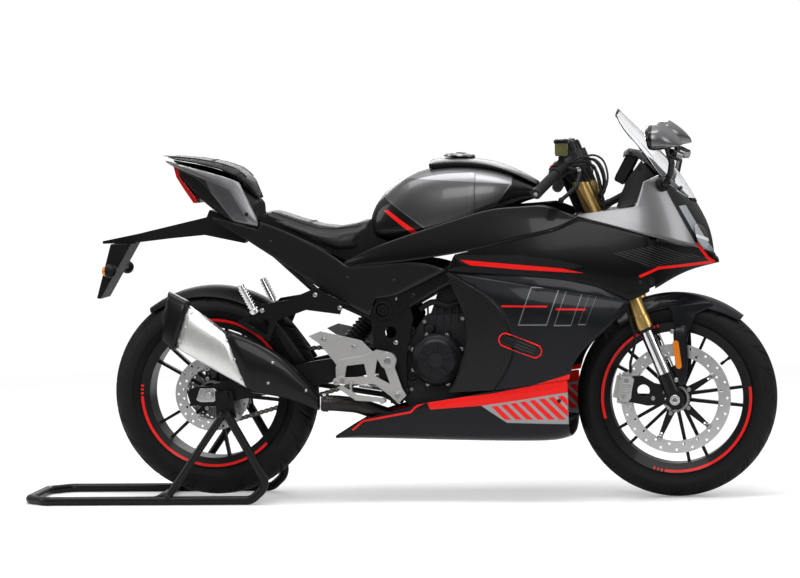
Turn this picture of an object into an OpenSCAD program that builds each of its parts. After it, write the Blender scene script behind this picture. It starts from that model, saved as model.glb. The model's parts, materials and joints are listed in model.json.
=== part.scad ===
// Faired sport motorcycle, held upright by a rear paddock stand.
// X runs forward, Y to the rider's left and Z up from the floor. All sizes are millimetres.

/* [Wheels] */
// Height of the front tyre's section above its bead seat
front_tyre_h = 77; // [62:1:92]
// Section width of the front tyre
front_tyre_w = 110; // [90:1:125]
// Height of the rear tyre's section above its bead seat
rear_tyre_h = 90; // [74:1:108]
// Section width of the rear tyre
rear_tyre_w = 150; // [120:1:160]
// Radius of both bead seats
bead_r = 216; // [200:1:228]
// Depth of the rim barrel from bead seat to inner face
rim_depth = 22; // [14:1:30]
// Pairs of thin spokes in each wheel
spoke_pairs = 5; // [3:1:7]
// Width of one spoke where it leaves the hub
spoke_w = 11; // [8:1:16]
// Diameter of the front axle
front_axle_d = 20; // [14:1:24]
// Bore through the front axle
front_axle_bore = 13; // [8:0.5:14]
// Diameter of the rear axle
rear_axle_d = 20; // [14:1:24]
// Height that the paddock stand lifts the rear tyre off the floor
rear_lift = 14; // [6:1:40]

/* [Brakes] */
// Outer radius of the front disc
front_disc_r = 160; // [140:1:165]
// Outer radius of the rear disc
rear_disc_r = 110; // [95:1:125]
// Thickness of both discs
disc_t = 4.5; // [3:0.5:6]
// Holes drilled in each row of a disc
disc_holes = 20; // [10:1:30]

/* [Steering] */
// Rake of the steering axis from upright
rake = 22.5; // [21:0.5:24]
// Steering axis ahead of the datum at its reference height
head_x = 1086; // [1070:1:1110]
// Reference height of the steering axis
head_z = 900; // [880:1:920]
// Fork legs ahead of the steering axis
fork_offset = 30; // [24:1:36]
// Distance between the two fork legs
fork_span = 204; // [196:1:216]
// Diameter of the upper fork tubes
fork_tube_d = 52; // [46:1:56]
// Diameter of the sliding stanchions
stanchion_d = 37; // [32:1:41]
// Length of stanchion left bare
stanchion_bare = 140; // [100:5:170]
// Diameter of the steering stem
stem_d = 30; // [24:1:34]
// Diameter of the handlebar tubes
bar_d = 22; // [20:1:25]
// Bare handlebar between its clamp and the hand control
bar_free = 64; // [54:1:80]
// Length of a grip
grip_l = 122; // [100:1:130]

/* [Drive] */
// Swingarm pivot ahead of the datum
pivot_x = 540; // [530:1:550]
// Height of the swingarm pivot
pivot_z = 420; // [410:1:430]
// Rear axle behind the swingarm pivot
swingarm_l = 540; // [520:1:570]
// Diameter of the swingarm pivot bolt
pivot_d = 18; // [14:1:24]
// Pitch of the chain
chain_pitch = 15.875; // [12.7:0.005:15.875]
// Teeth on the rear sprocket
rear_teeth = 40; // [34:1:44]
// Teeth on the front sprocket
front_teeth = 14; // [13:1:16]
// Chain line to the left of the middle
chain_y = 93; // [91:0.5:96]

/* [Bodywork] */
// Thickness of the moulded panels
panel_t = 3.5; // [2:0.5:5]
// Gap between neighbouring panels
panel_gap = 0.6; // [0.3:0.1:0.9]
// Thickness of the windscreen
screen_t = 3; // [2:0.5:4]
// Half width over the mirrors
mirror_half = 372; // [350:1:400]

/* [Stand] */
// Diameter of the paddock stand tube
stand_tube_d = 26; // [20:1:30]
// Half of the distance between the stand rails
stand_half = 187; // [180:1:215]
// Rear end of the stand behind the rear axle
stand_rear = 565; // [480:5:640]
// Diameter of the lifting spool neck
spool_d = 16; // [12:1:20]
// Length of the side stand leg
side_stand_l = 240; // [220:1:255]

/* [Hidden] */
$fn = 64;

// Running fit of a wheel or stem on its shaft, and the gap at a seat
run_fit = 0.05;
seat_gap = 0.3;

// Width of the lug at the foot of a fork leg
lug_w = 46;

// Places that follow from the sizes above
front_tyre_r = bead_r + front_tyre_h;
rear_tyre_r = bead_r + rear_tyre_h;
rear_x = pivot_x - swingarm_l;
rear_z = rear_tyre_r + rear_lift;
front_z = front_tyre_r;
fork_l = (head_z + fork_offset * sin(rake) - front_z) / cos(rake);
front_x = head_x + fork_l * sin(rake) + fork_offset * cos(rake);
stand_end = rear_x - stand_rear;
x_mid = (front_x + front_tyre_r + stand_end) / 2;

module place() {
  translate([-x_mid, 0, 0])
    children();
}
module both() {
  children();
  mirror([0, 1, 0])
    children();
}
// Frame of the fork: origin at the front axle, Z up along the legs
module at_fork() {
  translate([front_x, 0, front_z])
    rotate([0, -rake, 0])
      children();
}
module at_front() {
  translate([front_x, 0, front_z])
    rotate([90, 0, 0])
      children();
}
module at_rear() {
  translate([rear_x, 0, rear_z])
    rotate([90, 0, 0])
      children();
}
// A plate whose outline is drawn in X and Z, between two lateral places
module slab(y0, y1) {
  translate([0, y1, 0])
    rotate([90, 0, 0])
      linear_extrude(y1 - y0)
        children();
}
// A round bar between two points
module rod(a, b, d) {
  v = b - a;
  l = norm(v);
  translate(a)
    rotate([0, acos(v[2] / l), atan2(v[1], v[0])])
      cylinder(d = d, h = l);
}
// A tube bent to a radius at each inner point of its route. Each elbow is a little fuller than the
// straight lengths, which lap into it
elbow_fuller = 0.4;
elbow_lap = 1;
function unit(v) = v / norm(v);
function bend_angle(pts, i) = acos(unit(pts[i] - pts[i - 1]) * unit(pts[i + 1] - pts[i]));
function bend_trim(pts, i, r, lap = 0) =
  i == 0 || i == len(pts) - 1 ? 0 : r * tan(bend_angle(pts, i) / 2) - lap;
module bent(pts, d, r) {
  for (i = [0 : len(pts) - 2]) {
    along = unit(pts[i + 1] - pts[i]);
    from = bend_trim(pts, i, r, elbow_lap);
    to = bend_trim(pts, i + 1, r, elbow_lap);
    rod(pts[i] + from * along, pts[i + 1] - to * along, d);
  }
  for (i = [1 : len(pts) - 2]) {
    in = unit(pts[i] - pts[i - 1]);
    out = unit(pts[i + 1] - pts[i]);
    side = unit(out - (in * out) * in);
    centre = pts[i] - bend_trim(pts, i, r) * in + r * side;
    third = cross(-side, in);
    multmatrix([for (c = [0 : 2]) [-side[c], in[c], third[c], centre[c]]])
      rotate_extrude(angle = bend_angle(pts, i))
        translate([r, 0])
          circle(d = d + elbow_fuller);
  }
}

// Interpolation through short tables
function lerp(a, b, t) = a + (b - a) * t;
function cell(v, x, i = 0) = i >= len(v) - 2 || x < v[i + 1] ? i : cell(v, x, i + 1);
function hermite(a, b, c, d, t) =
  b + t / 2 * (c - a + t * (2 * a - 5 * b + 4 * c - d + t * (3 * (b - c) + d - a)));
function spline(xs, ys, x) =
  let (i = cell(xs, x), t = min(1, max(0, (x - xs[i]) / (xs[i + 1] - xs[i]))))
    hermite(ys[max(i - 1, 0)], ys[i], ys[i + 1], ys[min(i + 2, len(ys) - 1)], t);
function column(table, k) = [for (row = table) row[k]];
function turned(list) = [for (i = [len(list) - 1 : -1 : 0]) list[i]];

// Triangles of a grid of points, rows of n, and of the closed skin between an outer and an inner grid
function grid_faces(rows, n, base, flip) = [
  for (k = [0 : rows - 2])
    for (i = [0 : n - 2])
      let (a = base + k * n + i, b = a + 1, c = a + n + 1, d = a + n)
        each flip ? [[a, c, b], [a, d, c]] : [[a, b, c], [a, c, d]]
];
function rim_loop(rows, n) = concat(
  [for (i = [0 : n - 2]) i],
  [for (k = [0 : rows - 2]) k * n + n - 1],
  [for (i = [n - 1 : -1 : 1]) (rows - 1) * n + i],
  [for (k = [rows - 1 : -1 : 1]) k * n]
);
module between(outer, inner) {
  rows = len(outer);
  n = len(outer[0]);
  base = rows * n;
  edge = rim_loop(rows, n);
  m = len(edge);
  walls = [
    for (j = [0 : m - 1])
      let (p = edge[j], q = edge[(j + 1) % m])
        each [[q, p, p + base], [q, p + base, q + base]]
  ];
  polyhedron(
    points = concat([for (r = outer) each r], [for (r = inner) each r]),
    faces = concat(grid_faces(rows, n, 0, false), grid_faces(rows, n, base, true), walls)
  );
}
// A closed loft through rings of equally many points
module skin(rings) {
  n = len(rings[0]);
  m = len(rings);
  ends = [for (r = [rings[0], rings[m - 1]]) [for (c = [0, 1, 2]) column(r, c) * [for (p = r) 1] / n]];
  sides = [
    for (k = [0 : m - 2])
      for (i = [0 : n - 1])
        let (a = k * n + i, b = k * n + (i + 1) % n, c = b + n, d = a + n)
          each [[a, b, c], [a, c, d]]
  ];
  caps = [
    for (i = [0 : n - 1])
      let (j = (i + 1) % n)
        each [[n * m, j, i], [n * m + 1, (m - 1) * n + i, (m - 1) * n + j]]
  ];
  polyhedron(points = concat([for (r = rings) each r], ends), faces = concat(sides, caps));
}
function spow(v, e) = sign(v) * pow(abs(v), e);
// Upright ring at x: top, bottom and half width, widest at zw, squarer as e falls below 1
function ring(x, top, bottom, w, zw, e, n = 16) = [
  for (i = [0 : n - 1])
    let (a = 360 * i / n, c = spow(cos(a), e))
      [x, w * spow(sin(a), e), zw + (c > 0 ? top - zw : zw - bottom) * c]
];
// Leaning ring between a top and a bottom point in X and Z, about a lateral place
function lean(top, bottom, yc, w, e, n = 12) = [
  for (i = [0 : n - 1])
    let (a = 360 * i / n, c = (1 + spow(cos(a), e)) / 2)
      [lerp(bottom[0], top[0], c), yc + w * spow(sin(a), e), lerp(bottom[1], top[1], c)]
];

// Half width of the bodywork, by height and by distance ahead of the datum
body_x = [360, 520, 700, 850, 1000, 1120, 1250, 1340];
body_z = [180, 260, 340, 450, 560, 660, 760, 870];
body_w = [
  [120, 140, 150, 155, 158, 158, 150, 140],
  [130, 152, 168, 178, 184, 184, 176, 160],
  [136, 158, 180, 196, 206, 208, 198, 180],
  [138, 162, 188, 208, 220, 222, 208, 188],
  [138, 162, 190, 213, 228, 230, 214, 192],
  [138, 158, 188, 212, 228, 229, 214, 194],
  [148, 165, 186, 204, 216, 217, 205, 190],
  [140, 160, 178, 190, 198, 199, 188, 172]
];
function body_half(x, z) = spline(body_z, [for (row = body_w) spline(body_x, row, x)], z);
function toward(a, b, g) = let (d = norm(b - a)) d > 4 * g ? a + (b - a) * g / d : a;
// A moulded panel between an upper and a lower edge in X and Z, laid over the bodywork
function laid(upper, lower, rows, lift) = [
  for (k = [0 : rows])
    [
      for (i = [0 : len(upper) - 1])
        let (
          p = toward(upper[i], lower[i], panel_gap / 2),
          q = toward(lower[i], upper[i], panel_gap / 2),
          s = lerp(p, q, k / rows)
        )
          [s[0], -body_half(s[0], s[1]) - lift, s[1]]
    ]
];
function inward(grid, t) = [for (r = grid) [for (p = r) p + [0, t, 0]]];
module panel(upper, lower, rows, lift = 0) {
  g = laid(upper, lower, rows, lift);
  between(g, inward(g, panel_t));
}
// Turns the rows or the columns of a panel in towards the middle, each by its own amount
function row_tuck(grid, tucks) = [
  for (k = [0 : len(grid) - 1])
    [for (p = grid[k]) p + [0, tucks[k], 0]]
];
function column_tuck(grid, tucks) = [
  for (r = grid)
    [for (i = [0 : len(r) - 1]) r[i] + [0, tucks[i], 0]]
];

// Edges that neighbouring panels share, rear to front in X and Z
fairing_top = [
  [722, 676], [800, 671], [880, 668], [961, 663], [1060, 652], [1162, 632], [1210, 612], [1252, 586]
];
fairing_rear = [
  [722, 676], [790, 637], [850, 602], [885, 555], [908, 497], [913, 440], [885, 380], [850, 331]
];
fairing_front = [
  [1252, 586], [1214, 542], [1178, 502], [1142, 475], [1106, 440], [1086, 412], [1076, 384], [1071, 362]
];
surround_low = [
  [420, 696], [520, 700], [640, 714], [740, 728], [850, 750], [930, 772], [1000, 787], [1048, 799],
  [1090, 826]
];
surround_high = [
  [408, 707], [490, 747], [568, 774], [650, 800], [760, 834], [856, 862], [936, 862], [1006, 871],
  [1092, 837]
];
nose_edge = [[1048, 797], [1103, 830], [1207, 803], [1307, 773]];

/* Wheels */
// Side of each tyre beyond its bead
front_bulge = 17;
rear_bulge = 19;
rim_half_f = front_tyre_w / 2 - front_bulge;
rim_half_r = rear_tyre_w / 2 - rear_bulge;
flange_h = 8;
flange_t = 5;
hub_r = 30;
function tyre_profile(r, w, rim_half) =
  let (crown = 0.40 * w, mid = r - crown, bead = rim_half - seat_gap)
    concat(
      [[bead_r + seat_gap, -bead], [bead_r + flange_h, -bead], [bead_r + flange_h + 4, -rim_half - 2]],
      [for (a = [0 : 12 : 180]) [mid + crown * sin(a), -w / 2 * cos(a)]],
      [[bead_r + flange_h + 4, rim_half + 2], [bead_r + flange_h, bead], [bead_r + seat_gap, bead]]
    );
module tyre(r, w, rim_half) {
  rotate_extrude()
    polygon(tyre_profile(r, w, rim_half));
}
module rim(rim_half, hub_half, axle_d) {
  side = rim_half + flange_t;
  inner = bead_r - rim_depth;
  rotate_extrude()
    polygon([
      [inner, -side + 8], [bead_r + flange_h - 2, -side], [bead_r + flange_h, -side + 2],
      [bead_r + flange_h, -rim_half], [bead_r, -rim_half], [bead_r, -rim_half + 14],
      [bead_r - 8, -rim_half + 20], [bead_r - 8, rim_half - 20], [bead_r, rim_half - 14],
      [bead_r, rim_half], [bead_r + flange_h, rim_half], [bead_r + flange_h, side - 2],
      [bead_r + flange_h - 2, side], [inner, side - 8]
    ]);
  difference() {
    union() {
      cylinder(r = hub_r, h = 2 * hub_half, center = true);
      cylinder(r = hub_r + 12, h = 26, center = true);
      for (p = [0 : spoke_pairs - 1])
        for (s = [-1, 1])
          rotate(360 * p / spoke_pairs)
            linear_extrude(24, center = true)
              polygon([
                [hub_r - 4, s * 3], [hub_r + 4, s * (3 + spoke_w)],
                [inner + 4, s * (24 + spoke_w * 0.75)], [inner + 4, s * 24]
              ]);
    }
    cylinder(d = axle_d + 2 * run_fit, h = 4 * hub_half, center = true);
  }
}
module disc(r, band, y) {
  rows = [0.28, 0.72];
  translate([0, 0, y])
    difference() {
      cylinder(r = r, h = disc_t, center = true);
      cylinder(r = r - band, h = 2 * disc_t, center = true);
      for (k = [0 : len(rows) - 1])
        for (i = [0 : disc_holes - 1])
          rotate(360 * (i + k / 2) / disc_holes)
            translate([r - band * rows[k], 0, 0])
              cylinder(d = 7, h = 2 * disc_t, center = true);
    }
}
// Arms that carry a disc, from the hub face out to its inner edge
module disc_carrier(r, arms, y, t) {
  reach = sqrt(pow(r - seat_gap, 2) - 16 * 16);
  translate([0, 0, y])
    linear_extrude(t, center = true)
      for (i = [0 : arms - 1])
        rotate(360 * (i + 0.5) / arms)
          difference() {
            polygon([[hub_r - 2, -14], [reach, -16], [reach + 0.8, -5], [hub_r - 2, 12]]);
            translate([r - 14, -10])
              circle(d = 7);
          }
}
front_hub_half = fork_span / 2 - lug_w / 2 - 4;
front_disc_y = front_hub_half - 4;
front_band = 36;
module front_tyre() {
  color("dimgray")
    at_front()
      tyre(front_tyre_r, front_tyre_w, rim_half_f);
}
module front_rim() {
  color("black")
    at_front() {
      rim(rim_half_f, front_hub_half, front_axle_d);
      disc_carrier(front_disc_r - front_band, 5, front_disc_y, 4);
    }
}
module front_disc() {
  color("silver")
    at_front()
      disc(front_disc_r, front_band, front_disc_y);
}
rear_hub_half = 70;
rear_disc_y = 88;
rear_band = 34;
module rear_tyre() {
  color("dimgray")
    at_rear()
      tyre(rear_tyre_r, rear_tyre_w, rim_half_r);
}
module rear_rim() {
  color("black")
    at_rear() {
      rim(rim_half_r, rear_hub_half, rear_axle_d);
      difference() {
        union() {
          translate([0, 0, rear_disc_y - 22])
            cylinder(r = hub_r, h = 26);
          translate([0, 0, -chain_y - 4])
            cylinder(r = hub_r + 6, h = chain_y - rear_hub_half + 14);
        }
        cylinder(d = rear_axle_d + 2 * run_fit, h = 4 * rear_hub_half, center = true);
      }
      disc_carrier(rear_disc_r - rear_band, 5, rear_disc_y, 6);
    }
}
module rear_disc() {
  color("silver")
    at_rear()
      disc(rear_disc_r, rear_band, rear_disc_y);
}

/* Final drive */
roller_d = 10.16;
chain_w = 15;
sprocket_t = 6;
function pitch_r(teeth) = chain_pitch / 2 / sin(180 / teeth);
rear_pitch_r = pitch_r(rear_teeth);
front_pitch_r = pitch_r(front_teeth);
front_sprocket_x = pivot_x + 62;
front_sprocket_z = pivot_z + 6;
module sprocket_outline(teeth) {
  tip = pitch_r(teeth) - roller_d / 2 - 0.6;
  root = tip - 5;
  step = 360 / teeth;
  polygon([
    for (i = [0 : teeth - 1])
      for (c = [[root, -0.30], [tip, -0.14], [tip, 0.14], [root, 0.30]])
        c[0] * [cos((i + c[1]) * step), sin((i + c[1]) * step)]
  ]);
}
module rear_sprocket() {
  windows = 5;
  seat_r = hub_r + 6;
  color("gray")
    at_rear()
      translate([0, 0, -chain_y])
        difference() {
          linear_extrude(sprocket_t, center = true)
            sprocket_outline(rear_teeth);
          cylinder(r = seat_r + seat_gap, h = 2 * sprocket_t, center = true);
          for (i = [0 : windows - 1])
            rotate(360 * i / windows)
              translate([(seat_r + rear_pitch_r) / 2, 0, 0])
                cylinder(d = 24, h = 2 * sprocket_t, center = true);
        }
}
// Route of the chain, counted along its pitch line from where it meets the rear sprocket
chain_span = [front_sprocket_x - rear_x, front_sprocket_z - rear_z];
chain_turn = atan2(chain_span[1], chain_span[0]);
chain_lap = asin((rear_pitch_r - front_pitch_r) / norm(chain_span));
chain_top = chain_turn + 90 - chain_lap;
chain_low = chain_turn - 90 + chain_lap;
rear_wrap = rear_pitch_r * (180 + 2 * chain_lap) * PI / 180;
front_wrap = front_pitch_r * (180 - 2 * chain_lap) * PI / 180;
chain_run = norm(chain_span) * cos(chain_lap);
chain_length = rear_wrap + front_wrap + 2 * chain_run;
chain_links = 2 * round(chain_length / chain_pitch / 2);
function round_sprocket(x, z, r, a, h) = [x, z] + (r + h) * [cos(a), sin(a)];
function by_rear(a, h) = round_sprocket(rear_x, rear_z, rear_pitch_r, a, h);
function by_front(a, h) = round_sprocket(front_sprocket_x, front_sprocket_z, front_pitch_r, a, h);
function chain_at(s, h) =
  s < rear_wrap ? by_rear(chain_top + s / rear_pitch_r * 180 / PI, h)
  : s < rear_wrap + chain_run
  ? lerp(by_rear(chain_low, h), by_front(chain_low, h), (s - rear_wrap) / chain_run)
  : s < rear_wrap + chain_run + front_wrap
  ? by_front(chain_low + (s - rear_wrap - chain_run) / front_pitch_r * 180 / PI, h)
  : lerp(by_front(chain_top, h), by_rear(chain_top, h), (s - chain_length + chain_run) / chain_run);
// Outline of the loop, wide at the pins and waisted between them
function links_outline(pin, waist) = [
  for (i = [0 : 2 * chain_links - 1])
    chain_at(i * chain_length / chain_links / 2, i % 2 == 0 ? pin : waist)
];
module chain_band(pin, waist, y0, y1) {
  slab(y0, y1)
    difference() {
      polygon(links_outline(pin, waist));
      polygon(links_outline(-pin, -waist));
    }
}
module chain() {
  plate = 2.5;
  plate_half = roller_d / 2 + 2;
  plate_waist = roller_d / 2 - 0.2;
  color("darkgray") {
    chain_band(roller_d / 2, roller_d / 2, chain_y - chain_w / 2 + plate, chain_y + chain_w / 2 - plate);
    for (s = [-1, 1])
      translate([0, chain_y + s * (chain_w - plate) / 2, 0])
        chain_band(plate_half, plate_waist, -plate / 2, plate / 2);
  }
}

/* Rear suspension */
arm_in = 108;
arm_out = 138;
arm_h = 62;
spool_x = rear_x + 47;
spool_z = rear_z - 4;
arm_dir = [pivot_x - rear_x, pivot_z - rear_z] / norm([pivot_x - rear_x, pivot_z - rear_z]);
arm_up = [-arm_dir[1], arm_dir[0]];
function on_arm(along, up) = [rear_x, rear_z] + along * arm_dir + up * arm_up;
arm_l = norm([pivot_x - rear_x, pivot_z - rear_z]);
// Brace across the swingarm, ahead of the tyre
brace_at = rear_tyre_r + 62;
brace_l = 56;
brace_top = 30;
brace_low = 20;
function arm_top(along) = lerp(30, arm_h * 0.62, (along - 30) / (brace_at - 70));
module arm_side() {
  difference() {
    polygon([
      on_arm(-42, -20), on_arm(-42, 20), on_arm(30, 30), on_arm(brace_at - 40, arm_h * 0.62),
      on_arm(arm_l - 60, arm_h * 0.5), on_arm(arm_l, 34), on_arm(arm_l + 26, 20), on_arm(arm_l + 26, -20),
      on_arm(arm_l, -32), on_arm(arm_l - 80, -arm_h * 0.5), on_arm(brace_at - 60, -arm_h * 0.55),
      on_arm(30, -30)
    ]);
    translate([rear_x, rear_z])
      circle(d = rear_axle_d + 2 * seat_gap);
    translate([pivot_x, pivot_z])
      circle(d = pivot_d + 2 * seat_gap);
  }
}
module spool() {
  rotate([90, 0, 0])
    rotate_extrude()
      polygon([
        [0, 0], [17, 0], [17, 8], [spool_d / 2, 11], [spool_d / 2, 25], [17, 28], [17, 34], [0, 34]
      ]);
}
module swingarm() {
  color("black") {
    slab(-arm_out, -arm_in)
      arm_side();
    slab(arm_in, arm_out)
      arm_side();
    difference() {
      slab(-arm_in, arm_in)
        polygon([
          on_arm(brace_at, -brace_low), on_arm(brace_at, brace_top), on_arm(brace_at + brace_l, brace_top),
          on_arm(brace_at + brace_l, -brace_low)
        ]);
      translate([0, chain_y - chain_w / 2 - 6, 0])
        slab(0, arm_in)
          polygon([
            on_arm(brace_at - 9, -60), on_arm(brace_at - 9, 60), on_arm(brace_at + brace_l + 10, 60),
            on_arm(brace_at + brace_l + 10, -60)
          ]);
    }
    translate([pivot_x, 0, pivot_z])
      rotate([90, 0, 0])
        difference() {
          cylinder(r = 17, h = 2 * arm_in, center = true);
          cylinder(d = pivot_d + 2 * seat_gap, h = 3 * arm_in, center = true);
        }
    both()
      translate([spool_x, -arm_out, spool_z])
        spool();
  }
}
module rear_axle() {
  nut = 4;
  end = arm_out + nut + 12;
  color("silver")
    at_rear() {
      cylinder(d = rear_axle_d, h = 2 * end, center = true);
      for (s = [-1, 1])
        translate([0, 0, s * (arm_out + nut / 2 + seat_gap)])
          linear_extrude(nut, center = true)
            polygon([[-38, -14], [-26, 20], [16, 20], [22, 14], [22, -14], [14, -20], [-26, -20]]);
      translate([0, 0, rear_disc_y + 4.5])
        cylinder(r = 17, h = arm_in - rear_disc_y - 4.5 - seat_gap);
      translate([0, 0, -arm_in + seat_gap])
        cylinder(r = 17, h = arm_in - chain_y - 5 - seat_gap);
    }
}
module rear_caliper() {
  reach = rear_disc_r - 18;
  color("dimgray")
    at_rear()
      rotate(62) {
        for (s = [-1, 1])
          translate([reach, 0, rear_disc_y + s * 11])
            linear_extrude(14, center = true)
              polygon([[-16, -34], [22, -30], [26, 0], [22, 30], [-16, 34]]);
        translate([rear_disc_r + 10, 0, rear_disc_y])
          cube([10, 44, 20], center = true);
        translate([0, 0, rear_disc_y + 16])
          linear_extrude(arm_in - rear_disc_y - 16 - seat_gap)
            polygon([[reach - 30, -40], [reach + 6, -30], [reach - 6, 20], [34, -16], [30, -40]]);
      }
}
// Shock absorber, between an eye on the swingarm's brace and a cross tube of the frame
shock_eye_r = 15;
shock_tube_d = 22;
shock_at = [515, 585];
shock_low = on_arm(brace_at + brace_l / 2, brace_top + shock_eye_r + seat_gap);
shock_dir = unit(shock_at - shock_low);
shock_high = shock_at - (shock_tube_d / 2 + seat_gap + shock_eye_r) * shock_dir;
module rear_shock() {
  eye_w = 30;
  coils = 8;
  spring_r = 30;
  body_r = 20;
  l = norm(shock_high - shock_low);
  from = 36;
  pitch = (l - 2 * from) / coils;
  color("dimgray") {
    for (c = [shock_low, shock_high])
      slab(-eye_w / 2, eye_w / 2)
        translate(c)
          circle(r = shock_eye_r);
    translate([shock_low[0], 0, shock_low[1]])
      rotate([0, acos(shock_dir[1]), 0])
        rotate_extrude()
          polygon(concat(
            [
              [0, 0], [body_r / 2, 0], [body_r / 2, from - 14], [spring_r + 3, from - 12],
              [spring_r + 3, from - 6]
            ],
            [
              for (i = [0 : coils - 1])
                each [
                  [spring_r - 6, from + i * pitch], [spring_r, from + (i + 0.3) * pitch],
                  [spring_r, from + (i + 0.6) * pitch]
                ]
            ],
            [
              [spring_r + 3, l - from + 2], [spring_r + 3, l - from + 8], [body_r, l - from + 12],
              [body_r, l - 8], [body_r / 2, l], [0, l]
            ]
          ));
  }
}
module rear_hugger() {
  gap = 12;
  t = 3;
  half = rear_tyre_w / 2 + 3;
  start = 48;
  stop = 128;
  steps = 10;
  cols = 6;
  r0 = rear_tyre_r + gap;
  function bow(c) = 40 * pow(abs(2 * c / cols - 1), 2.4);
  function shell(extra) = [
    for (k = [0 : steps])
      let (a = lerp(stop, start, k / steps), taper = 1 - 0.35 * pow(1 - k / steps, 2))
        [for (c = [0 : cols]) let (r = r0 + extra - bow(c) * taper * taper)
          [rear_x + r * cos(a), half * taper * (2 * c / cols - 1), rear_z + r * sin(a)]]
  ];
  function over(a, drop) = [rear_x, rear_z] + (r0 - drop) * [cos(a), sin(a)];
  leg = start + 8;
  leg_y = arm_in + 2;
  color("black") {
    between(shell(t), shell(0));
    both() {
      slab(-leg_y - 6, -leg_y)
        polygon([
          on_arm(brace_at - 66, arm_top(brace_at - 66) + seat_gap),
          on_arm(brace_at - 110, arm_top(brace_at - 110) + seat_gap),
          over(leg, 28), over(start, 20)
        ]);
      slab(-leg_y - 1, -half + 2)
        polygon([
          over(leg, 29), over(leg, 36), over(start, 36), over(start, 29)
        ]);
    }
  }
}

/* Frame and engine */
rail_d = 28;
head_tube_d = 58;
head_low = fork_l - 116;
head_high = fork_l + 52;
plate_in = 140;
plate_out = 152;
// Front face of the tail unit, which the rear subframe carries
tail_front = 142;
stay_root = [1115, 0, 832];
stay_seat = [1182, 0, 866];
// Sockets on the frame that take the ends of the rear subframe, from their roots
seat_socket = [620, -138, 604];
seat_bend = [420, -112, 672];
seat_socket_l = 84;
stay_socket = [540, -138, 520];
stay_bend = [330, -104, 612];
stay_socket_l = 68;
function along(a, b, d) = a + d * unit(b - a);
module frame_tubes() {
  both() {
    bent([
      [1106, -8, 836], [1010, -95, 770], [880, -136, 706], [700, -138, 640], [560, -138, 560]
    ], rail_d, 60);
    bent([[1122, -8, 804], [1010, -112, 690], [880, -136, 706]], 24, 50);
    rod(seat_socket, along(seat_socket, seat_bend, seat_socket_l), 30);
    rod(stay_socket, along(stay_socket, stay_bend, stay_socket_l), 26);
    slab(-126, -112)
      polygon([[692, 622], [736, 622], [744, 650], [700, 650]]);
    beam();
  }
  rod([880, -136, 706], [880, 136, 706], 20);
  rod([shock_at[0], -plate_in - 4, shock_at[1]], [shock_at[0], plate_in + 4, shock_at[1]], shock_tube_d);
  rod([880, 0, 706], [880, 0, 847.6], 20);
  rod(stay_root, stay_seat, 24);
}
// Cast beam with a rib along each edge, from the pivot plate's boss up to the main rail
module beam() {
  rib = 5;
  difference() {
    slab(-plate_out - rib, -plate_in + 4)
      polygon([[520, 592], [716, 694], [740, 668], [552, 546]]);
    slab(-plate_out - 2 * rib, -plate_out + 2)
      polygon([[560, 600], [712, 680], [727, 668], [572, 572]]);
  }
}
module rear_subframe() {
  color("black") {
    both() {
      bent([
        along(seat_socket, seat_bend, seat_socket_l + seat_gap), seat_bend, [220, -88, 770],
        [150, -76, 818]
      ], 24, 60);
      bent([along(stay_socket, stay_bend, stay_socket_l + seat_gap), stay_bend, [150, -70, 770]], 20, 50);
    }
    rod([446, -112, 660], [446, 112, 660], 18);
    rod([200, -88, 794.6], [200, 88, 794.6], 18);
    translate([tail_front + seat_gap, -84, 762])
      cube([14, 168, 50]);
  }
}
module main_frame() {
  boss = [524, 566];
  color("black") {
    difference() {
      union() {
        at_fork()
          translate([-fork_offset, 0, head_low])
            cylinder(d = head_tube_d, h = head_high - head_low);
        frame_tubes();
        both() {
          slab(-plate_out, -plate_in)
            difference() {
              polygon([
                [505, 600], [590, 610], [612, 540], [590, 430], [590, 310], [560, 290], [520, 310],
                [500, 420], [486, 540]
              ]);
              translate([pivot_x, pivot_z])
                circle(d = pivot_d + 2 * seat_gap);
              translate([545, 500])
                circle(d = 34);
            }
          translate([boss[0], -plate_in - 2, boss[1]])
            rotate([90, 0, 0])
              cylinder(r = 28, h = 24);
        }
        slab(plate_in, plate_out)
          polygon([[500, 330], [560, 330], [556, 300], [538, 268], [502, 268]]);
        at_side_pivot(side_hub / 2 + seat_gap)
          cylinder(d = 22, h = 20);
      }
      at_fork()
        translate([-fork_offset, 0, head_low - 60])
          cylinder(d = stem_d + 2 * run_fit, h = head_high - head_low + 120);
      both()
        translate([boss[0], -plate_in - 8, boss[1]])
          rotate([90, 0, 0])
            cylinder(r = 20, h = 24);
    }
    translate([pivot_x, 0, pivot_z])
      rotate([90, 0, 0]) {
        cylinder(d = pivot_d, h = 2 * plate_out + 16, center = true);
        for (s = [-1, 1])
          translate([0, 0, s * (plate_out + 5 + seat_gap)])
            cylinder(d = 30, h = 10, center = true);
      }
    at_side_pivot(-side_hub / 2 - 5)
      cylinder(d = side_pin_d, h = side_hub + 10);
  }
}
// Half width of the crankcase, which leaves room for the chain inside the sprocket cover
chain_room = 3.5;
case_half = chain_y + chain_w / 2 + chain_room;
module engine() {
  color("gray") {
    difference() {
      slab(-case_half, case_half)
        polygon([
          [590, 470], [640, 545], [760, 552], [800, 500], [860, 440], [880, 350], [850, 262], [760, 232],
          [636, 236], [572, 300], [572, 360]
        ]);
      translate([0, chain_y - chain_w / 2 - 8, 0])
        slab(0, 60)
          polygon([[500, 360], [500, 480], [670, 500], [690, 425], [670, 350]]);
    }
    both() {
      rod([580, -case_half + 14, 322], [580, -plate_in + seat_gap, 322], 24);
      rod([714, -80, 636], [714, -112 + seat_gap, 636], 24);
    }
    slab(-92, 92)
      polygon([[655, 545], [700, 676], [770, 690], [880, 640], [858, 520], [800, 498]]);
    slab(-112, 112)
      polygon([[700, 660], [716, 700], [780, 712], [896, 662], [884, 630], [770, 676]]);
  }
}
clutch = [680, 419];
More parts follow.
